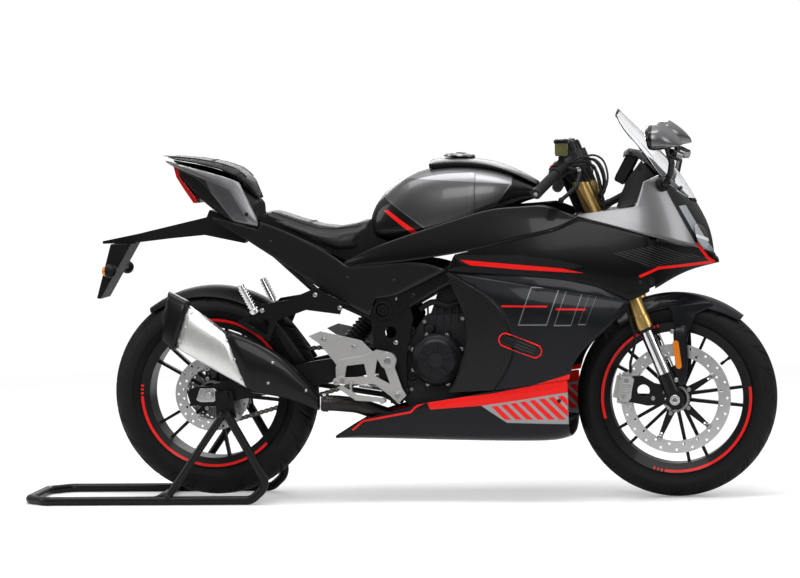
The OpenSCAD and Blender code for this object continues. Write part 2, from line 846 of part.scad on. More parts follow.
generator = [712, 400];
module on_case(place) {
  translate([place[0], -case_half - seat_gap, place[1]])
    rotate([90, 0, 0])
      children();
}
module engine_covers() {
  bolts = 8;
  color("dimgray") {
    on_case(clutch) {
      rotate_extrude()
        polygon([[0, 0], [78, 0], [78, 40], [70, 52], [62, 56], [62, 66], [54, 74], [0, 76]]);
      for (a = [18 : 72 : 306])
        rotate(a)
          translate([26, -5, 70])
            cube([26, 10, 12]);
      for (i = [0 : bolts - 1])
        rotate(360 * (i + 0.5) / bolts)
          translate([78, 0, 0])
            cylinder(r = 9, h = 38);
    }
    mirror([0, 1, 0]) {
      on_case(generator) {
        rotate_extrude()
          polygon([[0, 0], [70, 0], [70, 30], [60, 42], [44, 46], [40, 40], [0, 40]]);
        for (i = [0 : bolts - 1])
          rotate(360 * i / bolts)
            translate([70, 0, 0])
              cylinder(r = 8, h = 28);
      }
      slab(-case_half - seat_gap - 20, -case_half - seat_gap)
        polygon([[586, 384], [580, 440], [600, 484], [650, 492], [668, 440], [660, 376], [620, 368]]);
    }
  }
}
// Stay between the radiator's side tank and the side fairing
fairing_stay = [994, 560];
fairing_lift = 3;
fairing_in = body_half(fairing_stay[0], fairing_stay[1]) + fairing_lift - panel_t - 2 * seat_gap;
module radiator() {
  hang = [1010, -112, 690];
  ear = [980, -152, 628];
  pull_in = hang + (ear - hang) * 15 / norm(ear - hang);
  color("black") {
    translate([1012, 0, 520])
      rotate([0, -14, 0]) {
        difference() {
          cube([30, 300, 240], center = true);
          translate([12, 0, 0])
            cube([20, 270, 212], center = true);
        }
        for (i = [-6 : 6])
          translate([4, 0, i * 16])
            cube([8, 270, 5], center = true);
        for (s = [-1, 1])
          translate([-4, s * 158, 0])
            cylinder(d = 34, h = 236, center = true);
      }
    both() {
      rod(ear, pull_in, 12);
      rod([fairing_stay[0], -160, fairing_stay[1]], [fairing_stay[0], -fairing_in, fairing_stay[1]], 14);
    }
  }
}
module exhaust_pipe() {
  d = 46;
  color("gray") {
    both()
      bent([[892, -46, 600], [948, -46, 540], [946, -46, 300], [880, -46, 208]], 38, 60);
    bent([
      [880, -46, 206], [700, -40, 204], [640, -60, 208], [540, -94, 246], [440, -126, 286],
      [380, -170, 296], [338.6, -177, 298]
    ], d, 70);
    rod([640, -60, 222], [640, -60, 235.4], 20);
    rod([880, 46, 206], [700, -40, 204], 38);
  }
}
/* Silencer */
can_y = -181;
can_w = 37;
module muffler() {
  color("silver")
    skin(turned([
      lean([66, 508], [128, 338], can_y, can_w, 0.62),
      lean([14, 548], [18, 400], can_y, can_w + 1, 0.62),
      lean([-44, 590], [-88, 462], can_y, can_w - 1, 0.62)
    ]));
}
module muffler_shield() {
  color("black") {
    skin(turned([
      lean([334, 322], [334, 274], can_y + 4, 24, 0.8),
      lean([289, 378], [262, 304], can_y + 2, 32, 0.75),
      lean([200, 468], [205, 318], can_y, can_w + 2, 0.66),
      lean([62.8, 519], [132.8, 327], can_y, can_w + 3, 0.62)
    ]));
    skin(turned([
      lean([-40.7, 601], [-92.3, 451], can_y, can_w + 3, 0.62),
      lean([-104, 634], [-126, 484], can_y, can_w - 4, 0.62)
    ]));
  }
}

/* Rider's feet */
foot_y = 180;
module rearset_plates() {
  color("silver")
    both() {
      difference() {
        slab(-foot_y - 8, -foot_y)
          polygon([
            [386, 404], [396, 424], [470, 436], [506, 452], [540, 446], [566, 424], [560, 398], [580, 340],
            [592, 318], [568, 294], [546, 316], [500, 352], [404, 352], [386, 376]
          ]);
        slab(-foot_y - 20, -foot_y + 20)
          polygon([[412, 372], [418, 406], [470, 412], [478, 374]]);
        slab(-foot_y - 20, -foot_y + 20)
          polygon([[500, 376], [508, 424], [530, 396], [545, 352]]);
      }
      slab(-foot_y - 5, -foot_y - 1)
        polygon([
          [306, 494], [342, 508], [462, 480], [496, 446], [470, 434], [420, 424], [392, 402],
          [380, 420], [340, 470]
        ]);
      translate([pivot_x, -plate_out - 13.3, pivot_z])
        rotate([90, 0, 0])
          difference() {
            cylinder(r = 24, h = foot_y - plate_out + 1);
            translate([0, 0, -1])
              cylinder(d = 16, h = 40);
          }
      translate([568, -plate_out - seat_gap, 318])
        rotate([90, 0, 0])
          cylinder(r = 14, h = foot_y - plate_out + 14);
    }
}
module foot_controls() {
  peg = [398, 366];
  color("dimgray")
    both() {
      translate([peg[0], -foot_y - 8 - seat_gap, peg[1]])
        rotate([90, 0, 0]) {
          cylinder(r = 12, h = 14);
          translate([0, 0, 14])
            for (i = [0 : 5])
              translate([0, 0, i * 11])
                cylinder(r = i % 2 == 0 ? 11 : 9, h = 11);
        }
      translate([0, -foot_y - 24, 0])
        slab(-4, 4)
          polygon([[392, 344], [404, 352], [450, 322], [530, 312], [536, 300], [446, 306]]);
      translate([528, -foot_y - 20, 306])
        rotate([90, 0, 0])
          cylinder(r = 8, h = 40);
      translate([430, -foot_y - 8 - seat_gap, 330])
        rotate([90, 0, 0])
          cylinder(r = 7, h = 20);
      rod([430, -foot_y - 12.5 - seat_gap, 330], [430, -foot_y - 12.5 - seat_gap, 360], 9);
    }
}
hanger_y = 168;
module pillion_hangers() {
  color("black")
    both() {
      difference() {
        slab(-hanger_y - 8, -hanger_y)
          polygon([
            [410, 590], [328, 634], [246, 600], [168, 588], [146, 566], [92, 536], [188, 480],
            [214, 540], [300, 570], [400, 556]
          ]);
        slab(-hanger_y - 20, -hanger_y + 20)
          polygon([[120, 534], [182, 496], [192, 540], [160, 548]]);
      }
      rod([400, -hanger_y - 1, 581], [400, -127.3, 581], 16);
      rod([330, -hanger_y - 1, 612], [330, -116, 612], 16);
    }
}
module pillion_pegs() {
  color("silver")
    both()
      rod([152, -hanger_y - 18.6, 562], [110, -hanger_y - 30, 646], 20);
}

/* Tank and seats */
tank_table = [
  [480, 842, 790, 70, 0.75], [500, 884, 766, 112, 0.72], [548, 937, 752, 142, 0.70],
  [608, 974, 748, 157, 0.68], [660, 988, 752, 162, 0.68], [720, 994, 768, 163, 0.68],
  [800, 990, 800, 159, 0.68], [870, 972, 848, 144, 0.68], [930, 944, 872, 114, 0.70],
  [972, 920, 884, 84, 0.70]
];
// Share of the tank's height at which it is widest
tank_waist = 0.36;
function tank_ring(r) = ring(r[0], r[1], r[2], r[3], lerp(r[2], r[1], tank_waist), r[4], 24);
tank_rings = [for (r = tank_table) tank_ring(r)];
// Part of the tank's skin, rows k0 to k1 and ring points i0 to i1, set off outward from a to b
function set_off(k, i, d) =
  let (p = tank_rings[k][i], w = tank_table[k], mid = lerp(w[2], w[1], tank_waist))
  let (v = [0, p[1], p[2] - mid])
    p + v * d / norm(v);
module over_tank(k0, k1, i0, i1, a, b) {
  between(
    [for (k = [k0 : k1]) [for (i = [i0 : i1]) set_off(k, (i + 24) % 24, b)]],
    [for (k = [k0 : k1]) [for (i = [i0 : i1]) set_off(k, (i + 24) % 24, a)]]
  );
}
module fuel_tank() {
  color("dimgray")
    skin(tank_rings);
}
module tank_panels() {
  color("silver") {
    over_tank(1, 6, 3, 7, seat_gap, 4);
    over_tank(1, 6, 17, 21, seat_gap, 4);
  }
}
module tank_cover() {
  color("black")
    over_tank(4, 9, -2, 2, seat_gap, 16);
}
module rider_seat() {
  color("black")
    skin([
      ring(144, 846, 818, 60, 836, 0.7), ring(180, 863, 812, 96, 836, 0.7),
      ring(258, 836, 784, 110, 806, 0.6), ring(328, 815, 752, 120, 786, 0.6),
      ring(382, 809, 730, 122, 776, 0.6), ring(436, 818, 724, 110, 776, 0.65),
      ring(476, 836, 730, 76, 780, 0.7)
    ]);
}
module pillion_seat() {
  color("black")
    skin([
      ring(-152, 1030, 1022, 36, 1026, 0.7), ring(-100, 1028, 1008, 86, 1012, 0.7),
      ring(-40, 1021, 998, 106, 1004, 0.65), ring(36, 1007, 978, 112, 986, 0.65),
      ring(90, 989, 950, 104, 962, 0.65), ring(124, 956, 914, 84, 930, 0.7),
      ring(150, 902, 880, 50, 890, 0.8)
    ]);
}
tail_x = [-140, -60, 20, 100, 160, 360];
tail_w = [58, 84, 100, 106, 104, 118];
function tail_half(x) = spline(tail_x, tail_w, x);
// Tail unit by distance ahead of the datum: top and bottom
tail_table = [
  [-88, 1005.5, 962], [-40, 997.5, 900], [20, 981.6, 850], [70, 960, 820], [120, 917.6, 794],
  [tail_front, 888, 800]
];
module tail_unit() {
  inset = panel_t + 0.5;
  color("black")
    skin([
      for (r = tail_table)
        ring(r[0], r[1], r[2], tail_half(r[0]) - inset, (r[1] + r[2]) / 2, 0.55)
    ]);
}
module tail_panel(upper, lower, rows) {
  g = [
    for (k = [0 : rows])
      [for (i = [0 : len(upper) - 1]) let (s = lerp(upper[i], lower[i], k / rows))
        [s[0], -tail_half(s[0]) - 6 * sin(180 * k / rows), s[1]]]
  ];
  between(g, inward(g, panel_t));
}
module tail_cowl() {
  color("silver")
    both()
      tail_panel(
        [[-130, 1012], [-60, 995], [10, 975], [70, 956], [98, 944], [128, 880], [152, 830]],
        [[-128, 1006], [-90, 984], [-40, 960], [-10, 940], [30, 890], [76, 832], [150, 812]], 3
      );
}
module tail_lamp() {
  color("red")
    slab(-56, 56)
      polygon([
        [-108, 994], [-89, 1000], [-89, 962], [-42, 899], [-36, 884], [-50, 884], [-78, 926],
        [-100, 962]
      ]);
}
module plate_hanger() {
  color("black") {
    slab(-26, 26)
      polygon([
        [118, 794.4], [70, 819.4], [20, 849.4], [-8, 862], [-17, 841], [-223, 795], [-333, 774],
        [-333, 766], [-233, 768], [-120, 780], [-23, 788], [96, 762]
      ]);
    slab(-70, 70)
      polygon([[-238, 766], [-300, 766], [-345, 606], [-334, 604]]);
    both() {
      rod([-285, -60, 700], [-290, -118, 690], 16);
      translate([-292, -128, 689])
        sphere(r = 20);
    }
  }
}

/* Moulded panels of the body */
cover_x = [0, 150, 300, 420, 520, 620, 720];
cover_w = [103, 112, 130, 148, 160, 172, 187];
module side_covers() {
  upper = [
    [16, 842], [76, 827], [150, 803], [166, 826], [300, 774], [402, 710], [421, 695], [520, 699],
    [640, 712], [716, 682]
  ];
  lower = [
    [12, 838], [60, 808], [128, 768], [150, 752], [225, 706], [315, 644], [360, 616], [486, 546],
    [500, 600], [560, 606]
  ];
  rows = 3;
  g = [
    for (k = [0 : rows])
      [
        for (i = [0 : len(upper) - 1])
          let (top = toward(upper[i], lower[i], panel_gap / 2), s = lerp(top, lower[i], k / rows))
            [s[0], -spline(cover_x, cover_w, s[0]), s[1]]
      ]
  ];
  color("dimgray")
    both()
      between(g, inward(g, panel_t));
}
module side_fairings() {
  shoulder = [0, 0, 0, 0, 0, 0, 2, 13];
  g = column_tuck(laid(turned(fairing_rear), turned(fairing_front), 8, fairing_lift), shoulder);
  color("darkslategray")
    both()
      between(g, inward(g, panel_t));
}
module duct_panels() {
  color("black")
    both()
      panel(
        turned([
          [716, 672], [742, 610], [768, 560], [776, 515], [770, 460], [752, 400], [732, 350], [714, 325]
        ]),
        turned(fairing_rear), 3
      );
}
upper_edge = [
  [724, 690], [740, 728], [850, 750], [930, 772], [1000, 787], [1048, 799], [1103, 830], [1207, 803],
  [1307, 773]
];
upper_foot = [
  [722, 676], [760, 673], [850, 669], [930, 665], [1000, 659], [1060, 652], [1162, 632], [1252, 586],
  [1306, 612]
];
module upper_fairing() {
  shoulder = [0, 0, 0, 2, 10];
  g = row_tuck(laid(upper_edge, upper_foot, 4, 0), shoulder);
  color("black")
    both()
      between(g, inward(g, panel_t));
}
module tank_surround() {
  shoulder = [9, 3, 0, 0];
  g = row_tuck(laid(surround_high, surround_low, 3, 2), shoulder);
  color("black")
    both()
      between(g, inward(g, panel_t));
}
// Belly pan by distance ahead of the datum: top edge and floor
belly_table = [
  [372, 196, 184], [454, 248, 182], [560, 274, 179], [643, 295, 176],
  [740, 308, 173], [850, 330, 170], [960, 346, 169], [1030, 355, 171], [1066, 360.6, 184]
];
function belly_row(r, t) =
  let (top = r[1] - panel_gap / 2, low = r[2], w = body_half(r[0], r[1]) + 1)
    [for (a = [180 : -15 : 0])
      let (c = cos(a))
        [r[0], -(w - t) * spow(c, 0.55), low + t + (top - low - t) * (1 - spow(sin(a), 0.5))]];
module belly_pan() {
  post = [800, 88];
  color("dimgray") {
    between([for (r = belly_table) belly_row(r, 0)], [for (r = belly_table) belly_row(r, panel_t)]);
    both()
      rod([post[0], -post[1], 176], [post[0], -post[1], 242], 16);
  }
}
nose_top = [
  [1103, -193, 838], [1200, -196, 850], [1270, -188, 858], [1292, -166, 930], [1336, -138, 944],
  [1392, -98, 890], [1425, -46, 868], [1440, 0, 862]
];
nose_mid = [
  [1104, -196, 832], [1207, -205, 804], [1270, -202, 784], [1330, -190, 767], [1384, -163, 752],
  [1440, -118, 736], [1477, -55, 722], [1488, 0, 716]
];
nose_low = [
  [1104, -196, 832], [1207, -205, 804], [1270, -202, 784], [1322, -188, 619], [1372, -158, 650],
  [1422, -114, 672], [1474, -52, 682], [1500, 0, 686]
];
function across(p) = [p[0], -p[1], p[2]];
function mirrored(row) = concat(row, [for (i = [len(row) - 2 : -1 : 0]) across(row[i])]);
function swell(a, b, rows, out, g) = [
  for (k = [0 : rows])
    mirrored([for (i = [0 : len(a) - 1])
      let (p = lerp(a[i], b[i], k / rows), s = g / 2 * (k == 0 ? 1 : k == rows ? -1 : 0))
        p + [out * sin(180 * k / rows) * (i / len(a)), 0, -s]])
];
function side_of(y) = y < -1 ? -1 : y > 1 ? 1 : 0;
function pull(grid, t) = [for (r = grid) [for (p = r) p - t * [0.75, 0.65 * side_of(p[1]), 0]]];
function cowl_grid() = swell(nose_top, nose_mid, 4, 14, panel_gap);
module nose_cowl() {
  g = cowl_grid();
  color("silver")
    between(g, pull(g, panel_t));
}
module nose_lower() {
  ahead = [for (i = [3 : 7]) i];
  g = swell([for (i = ahead) nose_mid[i]], [for (i = ahead) nose_low[i]], 3, 4, panel_gap);
  color("black")
    between(g, pull(g, panel_t));
}
// Lenses over the front of the cowl, each two cells of its grid
lens_t = 4;
module headlamps() {
  all = cowl_grid();
  color("white")
    for (first = [5, 8]) {
      g = [for (k = [2 : 4]) [for (i = [first : first + 1]) all[k][i]]];
      between(pull(g, -lens_t - seat_gap), pull(g, -seat_gap));
    }
}
module windscreen() {
  mid = [[1437.5, 865], [1412, 914], [1380, 962], [1338, 1012], [1287, 1064], [1246, 1104], [1210, 1141]];
  side = [
    [1411, 66, 879], [1370, 110, 912], [1333, 134, 948], [1300, 134, 1000], [1268, 128, 1040],
    [1235, 114, 1078], [1207, 72, 1122]
  ];
  cols = 8;
  g = [
    for (k = [len(mid) - 1 : -1 : 0])
      [for (c = [0 : cols])
        let (v = 2 * c / cols - 1, q = v * v)
          [lerp(mid[k][0], side[k][0], q), v * side[k][1], lerp(mid[k][1], side[k][2], q)]]
  ];
  color("lightblue")
    between(g, [for (r = g) [for (p = r) p - screen_t * [0.7, 0, 0.7]]]);
}
stay_dir = (stay_seat - stay_root) / norm(stay_seat - stay_root);
module cockpit() {
  dash = [1236, 0, 968];
  hub = [1250, 0, 932];
  color("black") {
    translate(dash)
      rotate([0, 28, 0])
        cube([26, 170, 96], center = true);
    slab(-11, 11)
      polygon([[1240, 925], [1259, 929], [1246, 977], [1229, 971]]);
    both() {
      slab(-150, -144)
        polygon([[1282, 978], [1238, 930], [1222, 872], [1290, 866]]);
    }
    rod([1250, -146, 930], [1250, 146, 930], 14);
    rod(stay_seat + seat_gap * stay_dir, stay_seat + 84 * stay_dir, 22);
    rod(stay_seat + 78 * stay_dir, hub, 18);
  }
}
mirror_seat = [1344.4, -141, 921];
mirror_out = [0.611, -0.751, 0.25];
mirror_foot = mirror_seat + 15.5 * mirror_out;
// Rings of the mirror's shell: place ahead of the datum, height, half width and half height
mirror_table = [
  [1312, 1058, 84, 33], [1324, 1060, 92, 40], [1352, 1062, 88, 39], [1380, 1056, 66, 26],
  [1404, 1046, 26, 9]
];
module mirrors() {
  widest = 92;
  sides = 16;
  mid_y = widest - mirror_half;
  color("black")
    both() {
      bent([
        mirror_foot, mirror_foot + [16, -30, 26], [1376, mid_y + 74, 982], [1364, mid_y + 28, 1036]
      ], 18, 20);
      translate(mirror_foot)
        sphere(r = 15);
      translate([1386, mid_y + 54, 1006])
        rotate([0, 20, 40])
          cube([40, 24, 24], center = true);
      skin([
        for (r = mirror_table)
          [
            for (i = [0 : sides - 1])
              let (a = 360 * i / sides, c = spow(cos(a), 0.8), w = spow(sin(a), 0.8))
                [r[0] - 6 * c, mid_y + r[2] * w, r[1] + r[3] * c + 8 * w]
          ]
      ]);
    }
}

/* Paddock stand */
module paddock_stand() {
  r = (stand_tube_d + elbow_fuller) / 2;
  hook_y = arm_out + 18;
  bend = 60;
  stand_bend = 42;
  apex = [spool_x + 12, spool_z - 46];
  half = [
    [apex[0], stand_half, apex[1]], [rear_x + 178, stand_half, r + 46], [rear_x + 128, stand_half, r],
    [stand_end + r + bend, stand_half, r], [stand_end + r, stand_half - bend, r]
  ];
  color("black") {
    bent(concat(half, [for (p = turned(half)) [p[0], -p[1], p[2]]]), stand_tube_d, stand_bend);
    both() {
      rod([rear_x - 129, -stand_half, r], [apex[0] - 8, -stand_half, apex[1]], stand_tube_d - 4);
      slab(-hook_y - 4, -hook_y + 4)
        difference() {
          polygon([
            [spool_x - 26, spool_z + 16], [spool_x - 22, apex[1] - 16], [spool_x + 36, apex[1] - 16],
            [spool_x + 26, spool_z + 16]
          ]);
          translate([spool_x, spool_z])
            circle(d = spool_d + 2 * seat_gap);
          translate([spool_x - spool_d / 2 - seat_gap, spool_z])
            square([spool_d + 2 * seat_gap, 40]);
        }
      rod([apex[0], -hook_y + 2, apex[1]], [apex[0], -stand_half, apex[1]], 18);
    }
    rod([rear_x - 160, -stand_half, r], [rear_x - 160, stand_half, r], stand_tube_d - 4);
  }
}
/* Side stand, folded back along the left side */
side_pivot = [520, 166, 286];
side_folded = [-0.987, 0, 0.16];
side_down = [0.25, 0.45, -0.86];
side_axis = cross(side_folded, side_down) / norm(cross(side_folded, side_down));
side_hub = 18;
side_pin_d = 12;
module at_side_pivot(d) {
  translate(side_pivot + d * side_axis)
    rotate([0, acos(side_axis[2]), atan2(side_axis[1], side_axis[0])])
      children();
}
module side_stand() {
  foot = side_pivot + side_stand_l * side_folded;
  color("black")
    difference() {
      union() {
        rod(side_pivot, foot, 17);
        at_side_pivot(-side_hub / 2)
          cylinder(d = 24, h = side_hub);
        translate(foot)
          rotate([0, 10, 0])
            cube([44, 20, 10], center = true);
      }
      at_side_pivot(-40)
        cylinder(d = side_pin_d + 2 * run_fit, h = 80);
    }
}

/* Front end */
tube_low = 82 + stanchion_bare;
yoke_low = fork_l - 150;
yoke_high = fork_l + 62;
tube_top = fork_l + 138;
leg_y = fork_span / 2;
// Tab ahead of the lug that takes the fender stay
lug_tab = [front_x + 36 * cos(rake) - 42 * sin(rake), front_z + 36 * sin(rake) + 42 * cos(rake)];
module on_leg() {
  both()
    translate([0, -leg_y, 0])
      children();
}
module fork_tubes() {
  color("gold")
    at_fork()
      on_leg()
        difference() {
          union() {
            translate([0, 0, tube_low])
              cylinder(d = fork_tube_d, h = tube_top - tube_low);
            translate([0, 0, tube_low + 6])
              cylinder(d = fork_tube_d + 4, h = 34);
          }
          translate([0, 0, tube_low - 1])
            cylinder(d = stanchion_d + 2 * seat_gap, h = 60);
        }
}
module fork_stanchions() {
  color("lightgray")
    at_fork()
      on_leg()
        translate([0, 0, 62])
          cylinder(d = stanchion_d, h = tube_low + 50 - 62);
}
module fork_lugs() {
  face = front_disc_y + 24 + seat_gap;
  color("black") {
    at_front()
      translate([0, 0, face])
        linear_extrude(8)
          difference() {
            polygon([
              [-166, 0], [-160, 66], [-96, 70], [-60, 48], [-24, 40], [-10, 10], [-24, -14], [-80, -18]
            ]);
            translate([-92, 26])
              circle(r = 18);
          }
    at_fork()
      on_leg()
        difference() {
          union() {
            translate([0, 0, -26])
              cylinder(d = lug_w, h = 108);
            rotate([90, 0, 0])
              cylinder(d = 52, h = lug_w, center = true);
            translate([0, seat_gap - 4, 30])
              cube([46, 10, 26]);
          }
          translate([0, 0, 60])
            cylinder(d = stanchion_d + 2 * seat_gap, h = 60);
          rotate([90, 0, 0])
            cylinder(d = front_axle_d + 2 * seat_gap, h = 2 * lug_w, center = true);
        }
  }
}
module yoke(z, t, grip_r) {
  translate([0, 0, z - t / 2])
    linear_extrude(t)
      difference() {
        union() {
          for (s = [-1, 1])
            translate([0, s * leg_y])
              circle(r = grip_r);
          polygon([[grip_r - 6, -leg_y], [grip_r - 22, 0], [grip_r - 6, leg_y], [-grip_r + 8, leg_y],
            [-fork_offset - 24, 30], [-fork_offset - 24, -30], [-grip_r + 8, -leg_y]]);
          translate([-fork_offset, 0])
            circle(r = 30);
        }
        for (s = [-1, 1])
          translate([0, s * leg_y])
            circle(d = fork_tube_d + 2 * seat_gap);
      }
}
module yokes() {
  color("dimgray")
    at_fork()
      difference() {
        union() {
          yoke(yoke_low, 28, fork_tube_d / 2 + 9);
          yoke(yoke_high, 18, fork_tube_d / 2 + 8);
          translate([-fork_offset, 0, yoke_low - 14])
            cylinder(d = stem_d, h = yoke_high - yoke_low + 30);
        }
        translate([-fork_offset, 0, yoke_low - 20])
          cylinder(d = 18, h = 90);
      }
}
// Bars run out, back and down from their clamps on the fork tubes
clamp_z = yoke_high + 34;
bar_in = [
  front_x - clamp_z * sin(rake) + 8, -leg_y - fork_tube_d / 2 - 10, front_z + clamp_z * cos(rake) + 3
];
bar_dir = [-0.354, -0.845, -0.40] / norm([-0.354, -0.845, -0.40]);
bar_end = 14;
control_l = 51;
bar_l = bar_free + control_l + grip_l + bar_end;
function on_bar(s) = bar_in + s * bar_dir;
module along_bar(s) {
  translate(on_bar(s))
    rotate([0, acos(bar_dir[2]), atan2(bar_dir[1], bar_dir[0])])
      children();
}
grip_from = bar_free + control_l;
module clip_ons() {
  color("dimgray") {
    at_fork()
      on_leg()
        difference() {
          union() {
            translate([0, 0, clamp_z - 16])
              cylinder(d = fork_tube_d + 16, h = 32);
            translate([8, -fork_tube_d / 2 - 10, clamp_z])
              cube([32, 36, 32], center = true);
          }
          translate([0, 0, clamp_z - 40])
            cylinder(d = fork_tube_d + 2 * seat_gap, h = 80);
        }
    both() {
      rod(bar_in, on_bar(bar_l), bar_d);
      along_bar(bar_l - 12)
        cylinder(r = 16, h = 12);
    }
  }
}
module grips() {
  color("black")
    both()
      along_bar(grip_from)
        difference() {
          union() {
            cylinder(r = 15.5, h = grip_l);
            cylinder(r = 21, h = 7);
          }
          translate([0, 0, -1])
            cylinder(d = bar_d + 2 * seat_gap, h = grip_l + 2);
        }
}
reservoir_seat = 34;
post_foot = bar_d / 2 + 6.5;
module hand_controls() {
  color("black") {
    translate(on_bar(grip_from - 40) + [0, 0, post_foot])
      cylinder(r = 8, h = reservoir_seat - post_foot);
    both() {
      along_bar(bar_free)
        difference() {
          cylinder(r = 19, h = control_l - 3);
          translate([0, 0, -1])
            cylinder(d = bar_d + 2 * seat_gap, h = 60);
        }
      bent([
        on_bar(grip_from - 40) + [16, 0, 0], on_bar(grip_from - 30) + [58, 0, -8],
        on_bar(grip_from + 30) + [72, 0, -26], on_bar(grip_from + 108) + [60, 0, -30]
      ], 12, 16);
    }
  }
}
module brake_reservoir() {
  foot = on_bar(grip_from - 40);
  pot = 19;
  cap = 22;
  color("khaki")
    translate([foot[0], foot[1], foot[2] + reservoir_seat + seat_gap])
      rotate_extrude()
        polygon([[0, 0], [pot - 3, 0], [pot, 4], [pot, 36], [cap, 37], [cap, 46], [cap - 3, 49], [0, 49]]);
}
// Hose from the right hand control, outside the fork leg and behind it down to the caliper
hose_d = 8;
hose_turn = 29.7;
caliper_y = front_disc_y + 15;
module brake_hose() {
  beside = [10.3, 1.5, -12.4];
  color("black")
    bent([
      on_bar(bar_free - seat_gap) + beside, on_bar(hose_turn) + beside, [1148, -leg_y - 38, 980],
      [1172, -leg_y - 34, 880], [1186, -leg_y - 38, 780], [1214, -leg_y - 38, 640],
      [1260, -leg_y - 26, 470], [front_x - 130, -caliper_y, front_z + 107],
      [front_x - 131, -caliper_y, front_z + 78]
    ], hose_d, 16);
}
module front_fender() {
  gap = 13;
  t = 3;
  half = front_tyre_w / 2 + 12;
  steps = 12;
  cols = 8;
  r0 = front_tyre_r + gap;
  function bow(c) = 44 * pow(abs(2 * c / cols - 1), 2.6);
  function shell(extra) = [
    for (k = [0 : steps])
      let (a = lerp(128, 50, k / steps), taper = 1 - 0.4 * pow(k / steps, 3))
        [for (c = [0 : cols]) let (r = r0 + extra - bow(c) * taper * taper)
          [front_x + r * cos(a), half * taper * (2 * c / cols - 1), front_z + r * sin(a)]]
  ];
  // Places by angle round the axle and drop from the fender's inner face
  function under(a, drop) = [front_x, front_z] + (r0 - drop) * [cos(a), sin(a)];
  stay = half + 6;
  tab = leg_y + 4;
  pin = under(83.6, 109);
  color("black") {
    between(shell(t), shell(0));
    both() {
      slab(-stay, -stay + 5)
        polygon([
          under(66.7, 12), under(70, 1), under(92.1, 38), pin + [-26, 34], pin + [-22, 0], pin + [0, -20],
          pin + [18, 0], under(76.3, 53)
        ]);
      slab(-stay, -half + 4)
        polygon([under(75, 44), under(75, 35), under(93.2, 38.6), under(93.2, 46.6)]);
      slab(-tab, -stay + 1)
        translate(pin)
          circle(r = 9);
      slab(-tab - 5, -tab)
        polygon([
          pin + [-26, 14], pin + [14, 14], lug_tab + [24, 38], lug_tab + [12, -10], lug_tab + [-8, -12],
          lug_tab + [-14, 12]
        ]);
    }
  }
}
module front_caliper() {
  reach = front_disc_r - 20;
  color("silver")
    at_front()
      rotate(168) {
        for (s = [-1, 1])
          translate([reach, 0, front_disc_y + s * 15])
            linear_extrude(18, center = true)
              polygon([[-20, -48], [26, -44], [32, 0], [26, 44], [-20, 48]]);
        translate([front_disc_r + 14, 0, front_disc_y])
          cube([14, 64, 30], center = true);
      }
}
module front_axle() {
  color("silver")
    at_front()
      difference() {
        union() {
          cylinder(d = front_axle_d, h = 2 * leg_y + lug_w + 12, center = true);
          for (s = [-1, 1])
            translate([0, 0, s * (leg_y + lug_w / 2 + 3.3)])
              cylinder(r = front_axle_d / 2 + 5, h = 6, center = true);
        }
        cylinder(d = front_axle_bore, h = 3 * fork_span, center = true);
      }
}

place() {
  main_frame();
  rear_subframe();
  engine();
  engine_covers();
  radiator();
  exhaust_pipe();
  muffler();
  muffler_shield();
  swingarm();
  rear_shock();
  chain();
  rear_hugger();
  rear_caliper();
  rear_axle();
  rearset_plates();
  foot_controls();
  pillion_hangers();
  pillion_pegs();
  fuel_tank();
  tank_panels();
  tank_cover();
  tank_surround();
  rider_seat();
  pillion_seat();
  tail_unit();
  tail_cowl();
  tail_lamp();
  plate_hanger();
  side_covers();
  side_fairings();
  duct_panels();
  upper_fairing();
  belly_pan();
  nose_cowl();
  nose_lower();
  headlamps();
  windscreen();
  cockpit();
  mirrors();
  paddock_stand();
  side_stand();
  fork_tubes();
  fork_stanchions();
  fork_lugs();
  yokes();
  clip_ons();
  grips();
  hand_controls();
  brake_reservoir();
  brake_hose();
  front_fender();
  front_caliper();
  front_axle();
  front_tyre();
  front_rim();
  front_disc();
  rear_tyre();
  rear_rim();
  rear_disc();
  rear_sprocket();
}
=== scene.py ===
"""Looks of a faired sport motorcycle held up by its rear paddock stand."""
import json
from math import asin, atan2, cos, hypot, pi, radians, sin, tau

import bmesh
import bpy
from mathutils import Matrix, Vector
from mathutils.bvhtree import BVHTree


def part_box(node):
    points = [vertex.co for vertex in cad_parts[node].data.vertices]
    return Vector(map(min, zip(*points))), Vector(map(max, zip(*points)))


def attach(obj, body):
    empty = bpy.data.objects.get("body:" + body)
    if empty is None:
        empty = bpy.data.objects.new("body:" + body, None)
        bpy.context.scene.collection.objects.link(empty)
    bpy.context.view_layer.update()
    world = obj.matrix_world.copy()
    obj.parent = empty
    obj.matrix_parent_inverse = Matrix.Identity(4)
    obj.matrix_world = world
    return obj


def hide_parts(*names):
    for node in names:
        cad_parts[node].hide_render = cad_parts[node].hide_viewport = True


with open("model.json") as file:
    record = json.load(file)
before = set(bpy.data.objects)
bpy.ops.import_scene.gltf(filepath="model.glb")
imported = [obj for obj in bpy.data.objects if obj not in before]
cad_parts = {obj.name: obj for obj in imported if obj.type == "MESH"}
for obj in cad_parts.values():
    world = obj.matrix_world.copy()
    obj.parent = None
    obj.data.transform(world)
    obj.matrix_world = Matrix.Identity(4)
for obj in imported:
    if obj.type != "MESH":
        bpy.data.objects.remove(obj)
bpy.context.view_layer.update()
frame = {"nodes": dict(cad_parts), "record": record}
NODES = frame["nodes"]
JOINTS = {joint["name"]: joint for joint in frame["record"]["behaviour"]["joints"]}
BODY_OF = {
    node: body
    for body, nodes in frame["record"]["behaviour"]["bodies"].items()
    for node in nodes
}
SLOT_OF = {part["node"]: part["material_slot"] for part in frame["record"]["subparts"]}
MM = 0.001
REAR_AXLE = Vector(JOINTS["rear_wheel_spin"]["pos_m"])
